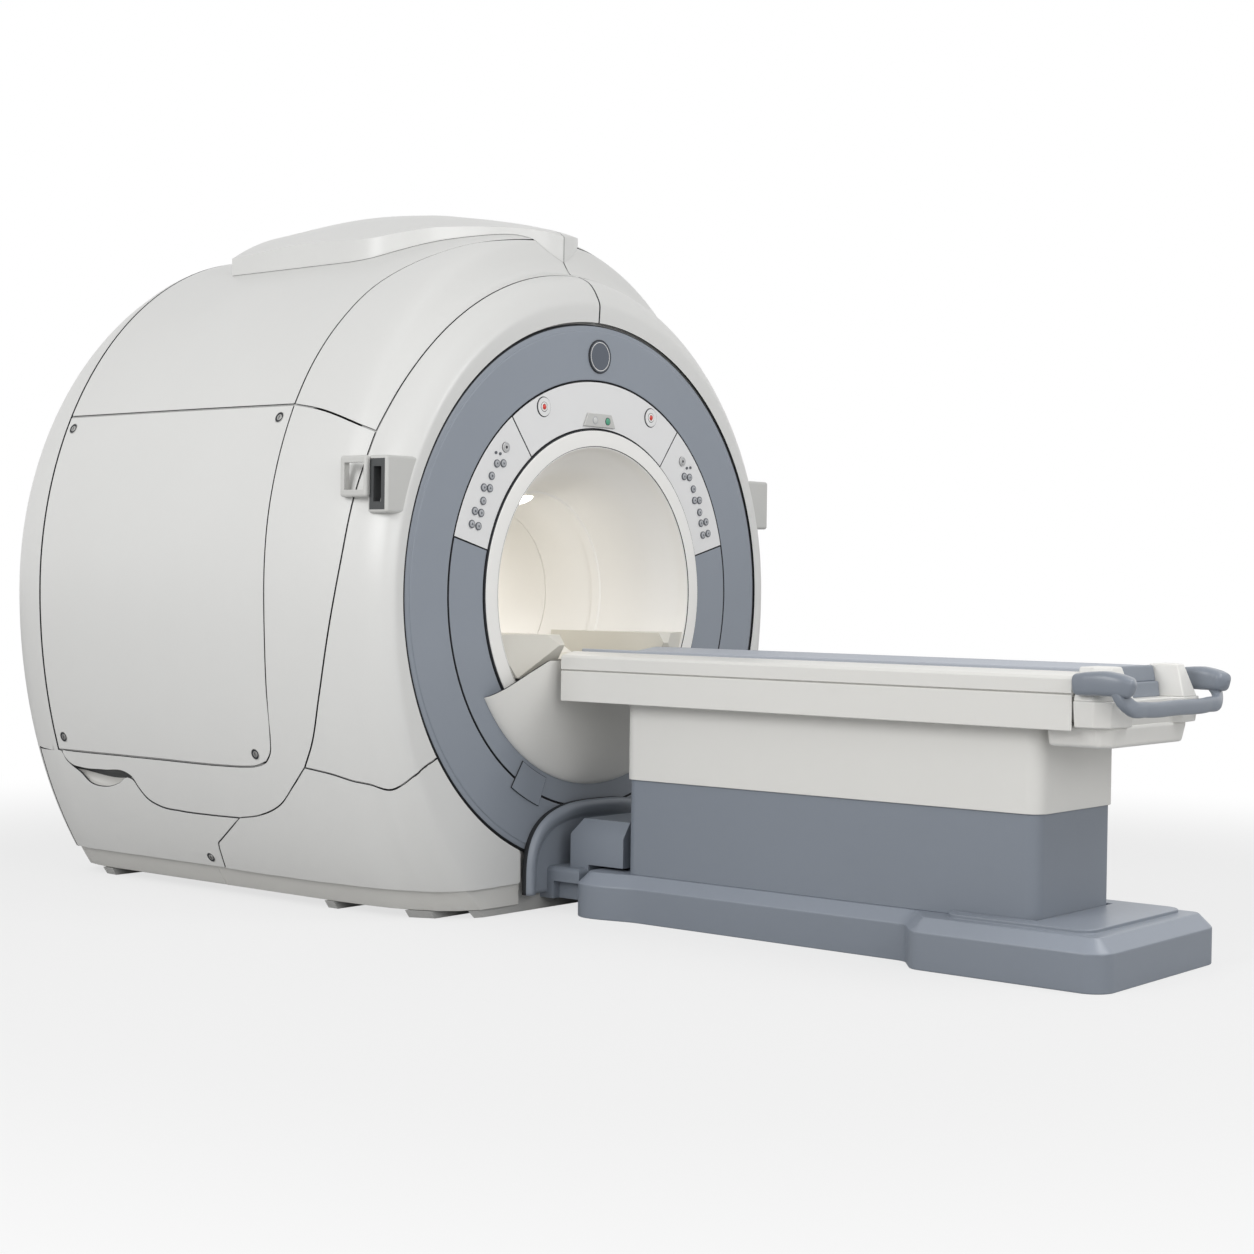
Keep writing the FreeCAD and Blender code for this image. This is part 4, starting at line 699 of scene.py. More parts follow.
def collar_angle(s):
    """The angle at which the skin meets the side of the dock's collar."""
    return -np.arccos(np.clip(COLLAR_SIDE / reaches(s)[1], 0, 1))


def skirt_angle(s):
    """The lowest angle that a cover may reach."""
    return np.maximum(height_angle(s), collar_angle(s))


skirt_s = np.linspace(0.02, at_depth(LOW_END), 4000)
skirt_line = np.stack([skirt_s, height_angle(skirt_s)], -1)
skirt_line = skirt_line[skin(skirt_line)[:, 0] < -COLLAR_SIDE]
collar_s = np.linspace(0, skirt_line[0, 0], 40)
collar_side = np.stack([collar_s, collar_angle(collar_s)], -1)
collar_side[-1] = skirt_line[0]
rim_foot = np.stack([np.zeros(80), np.linspace(RIM_END, collar_angle(0.0), 80)], -1)
low_front = np.vstack([rim_foot[:-1], collar_side])
split_s = diagonal[-1, 0]
skirt_front = np.vstack([skirt_line[skirt_line[:, 0] < split_s], diagonal[-1:]])
skirt_rear = np.vstack([diagonal[-1:], skirt_line[skirt_line[:, 0] > split_s]])


cover("lower_front_cover", np.vstack([vee[::-1][:-1], side_foot]), skirt_front, low_front,
      diagonal, lowest=skirt_angle)
low_top = np.vstack([foot_scoop[:-1], seam((1700, -592), (1704, -590), (1760, -590),
                                           (1860, -590))])
low_back = seam((1860, -590), (1860, -800), (1860, -969))
cover("lower_rear_cover", low_top, skirt_rear, diagonal, low_back, lowest=skirt_angle)
# The part of the scoop's cup under its top edge is painted dark: painted shade in the recess.
CUP_ROWS, CUP_COLUMNS, CUP_SHADED = 30, 14, 6
cup_share = np.linspace(0, 1, CUP_COLUMNS)[None, :, None]
cup_head = resampled(seam((1320, -645), (1480, -640), (1660, -632)), CUP_ROWS)[:, None]
cup_foot = resampled(seam((1320, -690), (1480, -722), (1660, -682)), CUP_ROWS)[:, None]
cup = skin((1 - cup_share) * cup_head + cup_share * cup_foot)
hollow = np.sin(math.pi * np.linspace(0, 1, CUP_ROWS))[:, None] ** 0.5
cup[..., 0] += 0.008 + 0.03 * hollow * np.sin(math.pi * cup_share[..., 0]) ** 0.5
points, faces = sheets(cup)
pair("scoop_cup", None, points, facing(points, faces, outward), [plinth_paint, slot_shade_paint],
     which=np.tile(np.arange(CUP_COLUMNS - 1) < CUP_SHADED, CUP_ROWS - 1))

# %% [markdown]
# ## The rear cover
#
# The back of the drum is one bell-shaped cover. Its front edge steps back under the access
# panels, its side rolls over to the rear face, and the face runs in to the round opening.
# One grid is bent round the drum: columns follow the angle, rows run over the edge.

# %% Roll the rear cover over the edge
REAR_HOLE, BACK = 0.462, FACE + REAR
foot_angle = spot(REAR, SKIRT)[1]
step_angle = spot(1.79, -0.592)[1]
half = np.concatenate([np.linspace(TOP, step_angle, 110),
                       np.linspace(step_angle - 0.0005, foot_angle, 30)])
front_s = np.where(half >= step_angle, rear_s, at_depth(LOW_END)) + HALF_GAP
share = np.linspace(0, 1, 26)[:, None]
rolled = np.stack([front_s[None] + (KNOTS[-1] - front_s[None]) * share,
                   np.broadcast_to(half[None], (26, len(half)))], -1)
side_sheet = skin(rolled)
side_sheet[..., 2] = np.maximum(side_sheet[..., 2], CENTRE + SKIRT)
edge_line = side_sheet[-1]
turn = np.linspace(half[-1], -TOP, 14)[1:]
flat = np.stack([edge_line[-1, 0] * (np.cos(turn) / np.cos(half[-1])),
                 np.full(13, BACK), np.full(13, CENTRE + SKIRT)], -1)
outline = np.vstack([edge_line, flat])
bearing = np.arctan2(outline[:, 2] - CENTRE, -outline[:, 0])
ring_line = np.stack([-REAR_HOLE * np.cos(bearing), np.full(len(outline), BACK + 0.003),
                      CENTRE + REAR_HOLE * np.sin(bearing)], -1)
blend = np.linspace(0, 1, 16)[:, None, None]
rear_face = (1 - blend) * outline[None] + blend * ring_line[None]
rear_face[..., 1] = BACK + 0.006 * np.sin(np.minimum(blend[..., 0], 0.5) * math.pi)
points, faces = sheets(side_sheet, rear_face)
faces = np.vstack([faces, faces[:, ::-1] + len(points)])
points = np.vstack([points, points * np.array([-1, 1, 1])])


def rearward(middle):
    """Backwards, for the faces of the flat back alone."""
    return np.array([0, 1, 0]) * (middle[:, 1:2] > BACK - 0.01)


# The rim of the bell takes the seam shadow paint: painted shade in its joint.
build("rear_bell", points, facing(points, faces, rearward), SCANNER, ["rear_cover"],
      "cover_white", [cover_paint, seam_shade_paint], weld=0.0004, **SHELL)
print("rear cover points", len(points))

# %% [markdown]
# ## The turret on the roof
#
# The turret houses the service connections. Seen from above it swells from a nose to its
# full width. Its roof follows the drum's crown a little higher up. The grid carries the
# plan outline inwards to the middle for the roof and straight down for the wall. A wide
# bevel is set for the shoulder between them, but the same limit leaves it under a
# millimetre wide.

# %% Raise the turret
TURRET_TOP = np.array([(150, 1228), (190, 1261), (280, 1288), (430, 1320), (570, 1344),
                       (720, 1366), (980, 1381), (1400, 1356)]) / 1000
TURRET_PLAN = np.array([(0, 168), (95, 196), (190, 276), (262, 390), (322, 510), (380, 590),
                        (430, 668), (450, 780), (450, 900), (450, 1400)]) / 1000
TURRET_SIDE, TURRET_END = TURRET_PLAN[-1]
TURRET_GAP = 0.0012


def roof_height(x, depth):
    """Crown of the turret: the ridge's height, falling off like an ellipse to the sides."""
    ridge_rise = even_curve(depth, TURRET_TOP[:, 0], TURRET_TOP[:, 1])
    return CENTRE + ridge_rise * np.sqrt(1 - (x / 1.02) ** 2)


def skin_height(x, depth):
    """Height of the drum's roof under the turret."""
    _, width, top, _ = reaches(at_depth(depth))
    return CENTRE + top * np.sqrt(1 - (x / width) ** 2)


def turret_grid(x, depth, height):
    """Points on the left of the joint along the turret's middle."""
    return np.stack([-TURRET_GAP - x, FACE + depth, height], -1)


def turret_wall(x, depth):
    """A wall from the turret's roof down to the drum, under a line of the plan."""
    down = np.linspace(0.0, 1.0, 8)[:, None]
    x = x + 0 * down
    depth = depth + 0 * x
    top, foot = roof_height(x, depth), skin_height(x, depth) + 0.001
    return turret_grid(x, depth, top + (np.minimum(foot, top - 0.002) - top) * down)


outline = through(TURRET_PLAN, 150)
outline[:, 0] = np.clip(outline[:, 0], 0.0, TURRET_SIDE)
inward = np.linspace(0.0, 1.0, 22)[:, None]
roof_x, roof_y = outline[:, 0] * inward, outline[:, 1] + 0 * inward
roof = turret_grid(roof_x, roof_y, roof_height(roof_x, roof_y))
back = turret_wall(np.linspace(0.0, TURRET_SIDE, 22), TURRET_END)
points, faces = sheets(roof, turret_wall(*outline.T), back[:, ::-1])
shape = bpy.data.meshes.new("turret_draft")
shape.from_pydata(points.tolist(), [], faces.tolist())
draft = bmesh.new()
draft.from_mesh(shape)
bmesh.ops.remove_doubles(draft, verts=draft.verts, dist=0.0002)
bmesh.ops.dissolve_degenerate(draft, edges=draft.edges, dist=0.0002)
bmesh.ops.recalc_face_normals(draft, faces=draft.faces)
if sum(face.normal.z * face.calc_area() for face in draft.faces) < 0:
    bmesh.ops.reverse_faces(draft, faces=draft.faces)
draft.to_mesh(shape)
draft.free()
points = np.array([vertex.co[:] for vertex in shape.vertices])
faces = [list(face.vertices) for face in shape.polygons]

# The turret's rim takes the seam shadow paint: painted shade where it meets the roof.
pair("turret", "turret_cover", points, faces, [cover_paint, seam_shade_paint], wall=0.006,
     bevel=0.002, first_bevel=0.02, angle=35)
print("turret faces", len(faces))

# %% [markdown]
# ## Turned pieces: the bore and its rings
#
# The inside of the bore is a funnel of moulded plastic that narrows to the tube. A profile
# of depths and radii is carried round the axis. Smooth curves join the profile's points. A
# low bead runs round the funnel, and a narrow groove marks its joint with the tube.

# %% Turn profiles round the bore
def revolved(profile, count):
    """Each profile point (depth, radius) carried round the axis through equal angles."""
    turns = np.radians(360.0 * np.arange(count) / count)
    depth, radius = profile[:, 0][:, None], profile[:, 1][:, None]
    return np.stack([radius * np.sin(turns), FACE + depth + 0 * turns,
                     CENTRE + radius * np.cos(turns)], -1)


FUNNEL = np.array([(-6.5, 505), (-3, 504), (0, 502.5), (24, 493), (60, 469), (120, 428),
                   (201, 391), (300, 355), (400, 321), (500, 300)]) / 1000
BEAD, BEAD_HALF, BEAD_EDGE, BEAD_RISE = 0.300, 0.0165, 0.0035, 0.006
depths = np.unique(np.concatenate([np.linspace(-0.0065, 0.5, 120),
                                   np.linspace(0.278, 0.322, 40)]))
bead = np.clip((BEAD_HALF - np.abs(depths - BEAD)) / BEAD_EDGE, 0, 1)
radii = (even_curve(depths, FUNNEL[:, 0], FUNNEL[:, 1])
         - BEAD_RISE * bead * bead * (3 - 2 * bead))
tube_depths = np.concatenate([[0.5015, 0.5025, 0.504], np.linspace(0.507, 1.45, 50)])
tube_radii = np.concatenate([[0.3035, 0.3035, 0.3005], np.full(50, 0.3)])
for name, profile, cad in (
        ("funnel_lining", np.stack([depths, radii], -1), "bore_funnel"),
        ("tube_lining", np.stack([tube_depths, tube_radii], -1), "bore_liner")):
    points, faces = sheets(revolved(profile, 200), closed=True)
    build(name, points, facing(points, faces, to_axis), SCANNER, [cad], "bore_ivory",
          [bore_paint], wall=0.005)


HOOP_TURNS = 260


def hoop(name, profile, tones, cad, slot_name, paints):
    """A closed ring round the bore's axis, with one paint number for each profile segment."""
    points, faces = sheets(revolved(np.array(profile) / 1000, HOOP_TURNS), closed=True)
    build(name, points, facing(points, faces, frontward), SCANNER, [cad], slot_name, paints,
          which=np.repeat(tones, HOOP_TURNS))
    print(name, len(points), "points")


# Paint number 1 is the seam shadow paint: painted shade on the band's inner wall and on its outer
# edge and wall.
hoop("entry_band", [
    (24, 508), (0, 508), (-6, 508), (-7.4, 508.8), (-8, 510.2), (-8.2, 512), (-8.2, 514),
    (-8.2, 560), (-8, 561.6), (-7.2, 562.8), (-6, 563.4), (-5, 563.8), (-4.6, 565), (-4.2, 567.4),
    (0, 568), (24, 568)],
     [1, 1, 1, 1, 0, 0, 0, 0, 0, 0, 0, 1, 1, 1, 1], "bore_entry_ring", "bore_ivory",
     [entry_paint, seam_shade_paint])

# %% [markdown]
# ## The blue ring
#
# The face of the drum is a broad blue ring. Near its outer edge it steps back by a few
# millimetres, and that rounded step draws a fine bright line all the way round. A turned
# profile gives the step exactly; the narrow sides that face the gaps are painted near-black,
# painted shade that makes the joints read dark.

# %% Turn the blue ring
# Paint number 1, the seam shadow paint, is painted shade on the ring's inner and outer walls.
hoop("blue_ring", [
    (24, 734), (6, 734), (3.4, 734.6), (1.6, 735.8), (0.5, 737.4), (0, 739.5), (0, 742),
    (0, 898), (0, 901), (0.5, 903), (1.8, 904.6), (3.6, 905.4), (4.2, 907), (4.4, 910),
    (4.6, 916), (5.2, 919), (6.8, 922), (9.5, 924.5), (13, 926.5), (24, 928.5)],
     [1, 1, 1, 1, 0, 0, 0, 0, 0, 0, 0, 0, 0, 0, 0, 0, 1, 1, 1], "front_ring", "ring_blue",
     [ring_paint, seam_shade_paint])

# %% [markdown]
# ## The apron under the bore
#
# A bulging shield hangs from the bore's mouth down over the blue ring. It is part of a
# flattened ball: its depth falls off like an ellipse towards the round lower edge, and a
# shaped line cuts it off at the top.

# %% Bulge the apron
APRON_SIDE, APRON_RADIUS, APRON_BULGE = 0.560, 0.655, 0.1
across = np.linspace(-APRON_SIDE, APRON_SIDE, 121)
HEAD = np.array([(-560, -339), (-500, -309), (-415, -262), (-330, -221), (0, -221), (330, -221),
                 (415, -262), (500, -309), (560, -339)]) / 1000
head = np.interp(across, HEAD[:, 0], HEAD[:, 1])
foot = -np.sqrt(APRON_RADIUS ** 2 - across ** 2)
slide = np.sin(np.linspace(0, math.pi / 2, 40))[:, None]
apron_z = head + (np.minimum(foot, head - 0.0004) - head) * slide
round_off = np.clip(1 - (across ** 2 + apron_z ** 2) / APRON_RADIUS ** 2, 0, 1)
shield = np.stack([across + 0 * apron_z, FACE - APRON_BULGE * np.sqrt(round_off) - 0.0005,
                   CENTRE + apron_z], -1)
points, faces = sheets(shield)
# The apron's rim takes the seam shadow paint: painted shade along its edge.
build("apron_shield", points, facing(points, faces, frontward), SCANNER, ["apron"], "table_white",
      [pale_paint, seam_shade_paint], wall=0.006, bevel=0.002)
print("apron", len(faces), "faces")

# %% [markdown]
# ## Buttons, keys, lamp and screws
#
# All the small round things are turned knobs: a profile of radii and heights is carried
# round an axis that stands on the surface. One function makes them all. With three or four
# turning steps instead of many it also gives the plain arrow and square marks on the keys.

# %% Turn the small parts
ROUND = 40


def knob(origin, axis, profile, count=ROUND, first=0.0, squeeze=1.0):
    """Profile points (radius, height in mm) carried round an axis; height is along it."""
    side = np.cross([0.0, 0.0, 1.0], axis)
    side /= np.linalg.norm(side)
    other = np.cross(axis, side)
    turns = np.radians(first) + 2 * math.pi * np.arange(count) / count
    radius = profile[:, :1, None] / 1000
    return (np.asarray(origin) + radius * np.cos(turns)[None, :, None] * side * squeeze
            + radius * np.sin(turns)[None, :, None] * other
            + profile[:, 1:, None] / 1000 * np.asarray(axis))


def knobs(name, places, profile, tones, body, cad_nodes, slot_name, paints, count=ROUND,
          first=0.0, squeeze=1.0):
    """The same knob at several places (origin, axis), as one piece."""
    profile = np.array(profile, float)
    grids = [knob(origin, axis, profile, count, first, squeeze) for origin, axis in places]
    points, faces = sheets(*grids, closed=True)
    build(name, points, faces, body, cad_nodes, slot_name, paints, weld=0.00001,
          which=np.tile(np.repeat(tones, count), len(places)))


def on_face(x, rise):
    """A place on the front: x and the height over the bore's axis, facing the viewer."""
    return (x, FACE, CENTRE + rise), (0.0, -1.0, 0.0)


STOP_X, STOP_RISE, BADGE_RISE, STATUS_RISE = 0.285, 0.627, 0.819, 0.598
LIGHT_RADIUS, LIGHT_ANGLE = 0.673, math.radians(44.3)
# In the stop knobs paint number 1, the seam shadow paint, is painted shade in the groove round the
# red cap and on the side wall; in the light knobs it colours the centre dot and the side wall,
# where it is painted shade.
for side, sign in (("left", -1), ("right", 1)):
    knobs("stop_knob_" + side, [on_face(sign * STOP_X, STOP_RISE)], [
        (0, 6), (4, 5.9), (7, 5.2), (8.4, 3.8), (8.6, 2.6), (9.6, 2.6), (10.0, 4.2), (11.2, 5),
        (13.4, 5), (14.6, 4.2), (15, 3), (15, -10)], [0, 0, 0, 0, 1, 2, 2, 2, 2, 2, 1],
          "stop_" + side, ["stop_button_" + side], "stop_red",
          [stop_paint, seam_shade_paint, entry_paint])
    knobs("light_knob_" + side, [on_face(sign * LIGHT_RADIUS * math.sin(LIGHT_ANGLE),
                                         LIGHT_RADIUS * math.cos(LIGHT_ANGLE))], [
        (0, 4.6), (4.2, 4.6), (4.6, 4.0), (5, 4.8), (10, 5.6), (11, 5.4), (11.4, 4.2),
        (12.6, 4.2), (13, 5.2), (15.6, 5.0), (16.8, 4), (17, 2), (17, -10)],
          [1, 1, 1, 0, 0, 0, 2, 2, 0, 0, 0, 1], "light_" + side, ["light_button_" + side],
          "button_grey", [button_paint, seam_shade_paint, mark_paint])
KEYS = np.array([(667, 39.7), (645, 41.6), (661, 35.6), (670, 31.0), (645, 32.2), (651, 27.6),
                 (671, 23.5), (642, 24.1), (668, 19.7), (637, 20.1)])
key_x = KEYS[:, 0] / 1000 * np.cos(np.radians(KEYS[:, 1]))
key_rise = KEYS[:, 0] / 1000 * np.sin(np.radians(KEYS[:, 1]))
for side, sign in (("left", -1), ("right", 1)):
    places = [on_face(sign * x, rise) for x, rise in zip(key_x, key_rise)]
    knobs("key_caps_" + side, places, [(0, 4.9), (9.6, 4.9), (10.4, 4.4), (10.6, 3.8)], [0, 0, 0],
          SCANNER, [], "button_grey", [mark_paint])
    for label, chosen, corners, first in (
            ("up", places[0::4], 3, 90), ("down", places[1::4], 3, -90),
            ("square", places[2::4], 4, 45), ("forward", places[3::4], 3, 0)):
        knobs(f"key_mark_{label}_{side}", chosen, [(0, 5.6), (4.6, 5.6), (5.2, 4.8)], [0, 0],
              SCANNER, [], "button_grey", [key_paint], count=corners, first=first)
# The badge's outer rim and wall take the seam shadow paint: painted shade round its edge.
knobs("badge_plate", [on_face(0, BADGE_RISE)], [
    (0, 4.2), (40, 4.2), (46.8, 4.2), (47.4, 4.9), (49.6, 4.9), (50.2, 4.2), (53.4, 4.2),
    (54, 5), (57, 5), (58, 4.2), (58, 0)], [0, 0, 0, 1, 0, 0, 0, 2, 2, 2],
      SCANNER, ["badge_disc"], "ring_blue", [badge_paint, entry_paint, seam_shade_paint], count=72)
for label, x, lens, rim_paint in (("clear", -0.026, lens_clear, mark_paint),
                                  ("green", 0.040, lens_glow, seam_shade_paint)):
    knobs("status_lens_" + label, [on_face(x, STATUS_RISE)], [
        (0, 11), (8, 10.6), (11, 9.6), (11.4, 9.2), (13, 9.4), (13.4, 8.2)], [0, 0, 0, 1, 1],
          SCANNER, [], "panel_grey", [lens, rim_paint])
SCREWS = ((1680, 570), (574, 570), (1670, -540), (632, -540), (1042, -932))
places = []
for depth, rise in SCREWS:
    place = spot(depth / 1000, rise / 1000)
    near = skin(place), skin(place + np.array([0.002, 0])), skin(place + np.array([0, 0.002]))
    stand = np.cross(near[1] - near[0], near[2] - near[0])
    stand *= np.sign(-stand[0]) / np.linalg.norm(stand)
    places += [(near[0], stand), (near[0] * [-1, 1, 1], stand * [-1, 1, 1])]
# Paint number 1 is painted shade in the ring-shaped recess round each screw head; the slots below
# are painted shade as well.
knobs("panel_screws", places, [
    (0, 2.0), (8, 1.8), (10.6, 1.0), (11, 0.3), (11.4, 0.5), (17.6, 0.5), (18, 1.2), (20, 1.2),
    (21, 0.2), (21.2, -2)], [0, 0, 0, 1, 1, 1, 2, 2, 2], SCANNER, ["cover_screws"],
      "screw_steel", [steel, seam_shade_paint, handle_paint])
knobs("screw_slots", places, [(0, 2.5), (8.4, 2.3), (8.6, 1.4)], [0, 0], SCANNER, [],
      "screw_steel", [seam_shade_paint], count=4, squeeze=0.22)
knobs("bore_lamp_lens", [((0, FACE + 0.372, CENTRE + 0.3375), (0, -0.28, -0.96))], [
    (0, 19), (20, 18.2), (38, 15), (50, 10), (56, 5), (58, 0), (58, -6)], [0] * 6, SCANNER,
      ["bore_lamp"], "lamp_white", [lamp_glow], count=64)
print("small parts turned")

# %% [markdown]
# ## The hood round the dock
#
# Where the table meets the scanner, an arched hood stands on the blue ring. Its outline is a
# superellipse on two straight legs. The section rises steeply from the ring, rolls over a
# crest and falls inwards to a flat wall. Each point of the section shrinks the outline a
# little towards the middle, so that one grid makes hood and wall together.

# %% Raise the hood
HOOD_X, HOOD_Z, HOOD_FOOT = 0.365, 0.260, 0.100
HOOD = np.array([(0, 0), (0, 19), (1.5, 26), (5, 31), (10, 34.5), (17, 36), (25, 35), (34, 31),
                 (43, 25), (51, 18), (57, 11), (61, 8), (66, 7), (120, 7), (259, 7)]) / 1000
turn = np.linspace(0, math.pi, 121)


def bulged(part, power=2.9):
    """Sign of a value times its size to the power 2 / p, as in a superellipse."""
    return np.sign(part) * np.abs(part) ** (2 / power)


hood_x = np.concatenate([np.full(4, -1.0), -bulged(np.cos(turn)), np.full(4, 1.0)])
hood_z = np.concatenate([np.linspace(-0.04, -0.01, 4), HOOD_Z * bulged(np.sin(turn)),
                         np.linspace(-0.01, -0.04, 4)])
inset = HOOD[:, :1]
narrowed = np.where(inset > 0.1, HOOD_X - inset * HOOD_X / HOOD_Z, HOOD_X - inset)
hood = np.stack([narrowed * hood_x, FACE - HOOD[:, 1:] + 0 * hood_x,
                 HOOD_FOOT + hood_z * np.where(hood_z > 0, 1 - inset / HOOD_Z, 1)], -1)
points, faces = sheets(hood)
# The first row of the section, the steep wall where the hood stands on the ring, takes the seam
# shadow paint: painted shade at that joint.
tones = np.zeros((len(HOOD) - 1, len(hood_x) - 1), int)
tones[0] = 1
build("dock_hood", points, facing(points, faces, frontward), SCANNER, ["dock_collar"], "table_blue",
      [ring_paint, seam_shade_paint], wall=0.003, which=tones.ravel())
print("hood", hood.shape)

# %% [markdown]
# ## The table's end: bars and slabs
#
# The table ends in a moulding with two fins and a bent bar that staff push. A bar is a
# section carried along a line. A slab is an outline that is pulled upwards and may narrow
# towards its top. Both give such parts in a few numbers, and a bevel softens their edges.

# %% Sweep the push bar, pull up the end cap
BAR_POWER, BAR_SIDES = 3.4, 32


def swept(path, wide, tall, over, ends):
    """A bar along a path. Each section is a superellipse, its half width along `over` and
    its half height across it; near both ends it shrinks like a quarter circle."""
    path = np.array(path, float)
    line = through(path, 240)
    far, knots = lengths_along(line), lengths_along(path)
    knots *= far[-1] / knots[-1]
    close = ends * (1 - np.cos(np.linspace(0, math.pi / 2, 9)))
    at = np.concatenate([close[:-1], np.linspace(ends, far[-1] - ends, 70),
                         far[-1] - close[:-1][::-1]])
    places = np.stack([np.interp(at, far, line[:, axis]) for axis in range(3)], -1)
    along = np.gradient(places, at, axis=0)
    along /= np.linalg.norm(along, axis=1, keepdims=True)
    side = np.array(over) - along * (along @ np.array(over))[:, None]
    side /= np.linalg.norm(side, axis=1, keepdims=True)
    other = np.cross(side, along)
    near = np.clip(np.minimum(at, far[-1] - at) / ends, 0, 1)
    shrink = np.sqrt(np.maximum(1 - (1 - near) ** 2, 0))
    turns = 2 * math.pi * np.arange(BAR_SIDES) / BAR_SIDES
    across = (np.interp(at, knots, wide) * shrink)[:, None] * bulged(np.cos(turns), BAR_POWER)
    rise = (np.interp(at, knots, tall) * shrink)[:, None] * bulged(np.sin(turns), BAR_POWER)
    return places[:, None] + across[..., None] * side[:, None] + rise[..., None] * other[:, None]


def slab(low_plan, high_plan, low, high):
    """An outline (x, y in mm) at one height joined to a second outline at another."""
    count = len(low_plan)
    points = np.vstack([np.column_stack([np.array(plan, float), np.full(count, height)]) / 1000
                        for plan, height in ((low_plan, low), (high_plan, high))])
    ring = np.arange(count)
    after = (ring + 1) % count
    walls = np.stack([ring, after, after + count, ring + count], -1).tolist()
    return points, walls + [ring[::-1].tolist(), (ring + count).tolist()]


def joined_parts(*parts):
    """Several (points, faces) as one; also the number of faces in each."""
    points, faces, start = [], [], 0
    for some_points, some_faces in parts:
        points.append(some_points)
        faces += [[corner + start for corner in face] for face in some_faces]
        start += len(some_points)
    return np.vstack(points), faces, [len(some_faces) for _, some_faces in parts]


def mirrored(points):
    """The points of the left side as points of the right side, in running order."""
    return [(-x, *rest) for x, *rest in points[::-1]]


def whole(half):
    return half + mirrored(half)


BAR = [(-0.306, -2.008, 0.838), (-0.303, -2.026, 0.808), (-0.277, -2.040, 0.784),
       (-0.20, -2.0455, 0.776)]
BAR_WIDE, BAR_TALL = [0.015, 0.015, 0.013, 0.012], [0.024, 0.024, 0.023, 0.022]
GRIP = [(0.301, -1.879, 0.842), (0.303, -1.925, 0.846), (0.303, -1.985, 0.848),
        (0.299, -2.030, 0.843), (0.288, -2.062, 0.836)]
bars = [swept(BAR + [(0, -2.047, 0.775)] + mirrored(BAR), BAR_WIDE + [0.012] + BAR_WIDE[::-1],
              BAR_TALL + [0.022] + BAR_TALL[::-1], (0, 1.0, 0.001), ends=0.010)]
for sign in (-1, 1):
    bars.append(swept([(sign * x, y, z) for x, y, z in GRIP],
                      [0.026, 0.031, 0.0325, 0.032, 0.028],
                      [0.029, 0.033, 0.0345, 0.031, 0.025], (1.0, 0, 0), ends=0.016))
points, faces = sheets(*bars, closed=True)
build("push_bar", points, faces, TABLE, ["push_handle"], "table_blue", [grip_paint], solid=True)

BLOCK_LOW = whole([(-296, -1878), (-296, -1936), (-268, -1978), (-160, -1988), (-140, -1962)])
BLOCK_HIGH = whole([(-305, -1878), (-305, -1944), (-274, -1986), (-156, -1995), (-134, -1966)])
FIN_LOW = [(-302, -1878), (-302, -1938), (-262, -1984), (-156, -1993), (-149, -1950),
           (-149, -1878)]
FIN_HIGH = [(-268, -1878), (-262, -1918), (-226, -1958), (-176, -1962), (-162, -1940),
            (-162, -1878)]
cap_parts = [slab(BLOCK_LOW, BLOCK_HIGH, 722, 797), slab(FIN_LOW, FIN_HIGH, 796, 891),
             slab(mirrored(FIN_LOW), mirrored(FIN_HIGH), 796, 891),
             slab(whole([(-150, -1878), (-150, -1922)]), whole([(-150, -1878), (-150, -1916)]),
                  796, 841),
             slab(whole([(-158, -1878), (-158, -1904)]), whole([(-158, -1878), (-158, -1894)]),
                  840, 887)]
points, faces, counts = joined_parts(*cap_parts)
build("end_moulding", points, faces, TABLE, ["end_cap"], "table_white", [pale_paint, table_paint],
      bevel=0.005, steps=4, angle=20, which=np.repeat([0, 0, 0, 1, 1], counts), solid=True)
TRAY_LOW = whole([(-246, -1772), (-246, -1928), (-216, -1962)])
TRAY_HIGH = whole([(-262, -1772), (-262, -1936), (-228, -1970)])
points, faces = slab(TRAY_LOW, TRAY_HIGH, 663, 726)
build("tray_moulding", points, faces, TABLE, ["under_tray"], "table_white", [pale_paint],
      bevel=0.012, steps=5, angle=20, solid=True)
print("table end built")

# %% [markdown]
# ## CAD pieces with softened edges
#
# The other pieces already have the right shape in CAD, apart from their edges, which are
# knife-sharp there. A moulded or machined edge always has a small radius, and it is that
# radius that catches the light. A merged copy of each such piece gets a Bevel modifier and
# stands for the CAD node. On the dock block, the bore's bridge and the front of the plinth
# the limit leaves little of it.

# %% Soften CAD pieces
SLOTS = {part["node"]: part["material_slot"] for part in frame["record"]["subparts"]}
SHARP = math.radians(35)


def softened(node, paints, width, steps=3, pick=None, dark_edge=False):
    """A merged copy of a CAD node with bevelled edges. pick chooses a paint per face."""
    work = bmesh.new()
    work.from_mesh(nodes[node].data)
    bmesh.ops.remove_doubles(work, verts=work.verts, dist=0.00002)
    bmesh.ops.dissolve_limit(work, angle_limit=math.radians(0.6), verts=work.verts,
                             edges=work.edges, use_dissolve_boundaries=False)
    for face in work.faces:
        face.material_index = pick(face.calc_center_median(), face.normal) if pick else 0
    smoothed(work, SHARP)
    mesh = bpy.data.meshes.new(node + "_soft")
    work.to_mesh(mesh)
    work.free()
    made = placed(node + "_soft", mesh, paints)
    rounding = rounded(made, "edge_round", width, steps, SHARP)
    # A dark edge paints the bevel itself with the second paint, the seam shadow: painted shade
    # along the joint.
    if dark_edge:
        rounding.material = 1
    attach(made, nodes[node]["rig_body"])
    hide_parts(node)


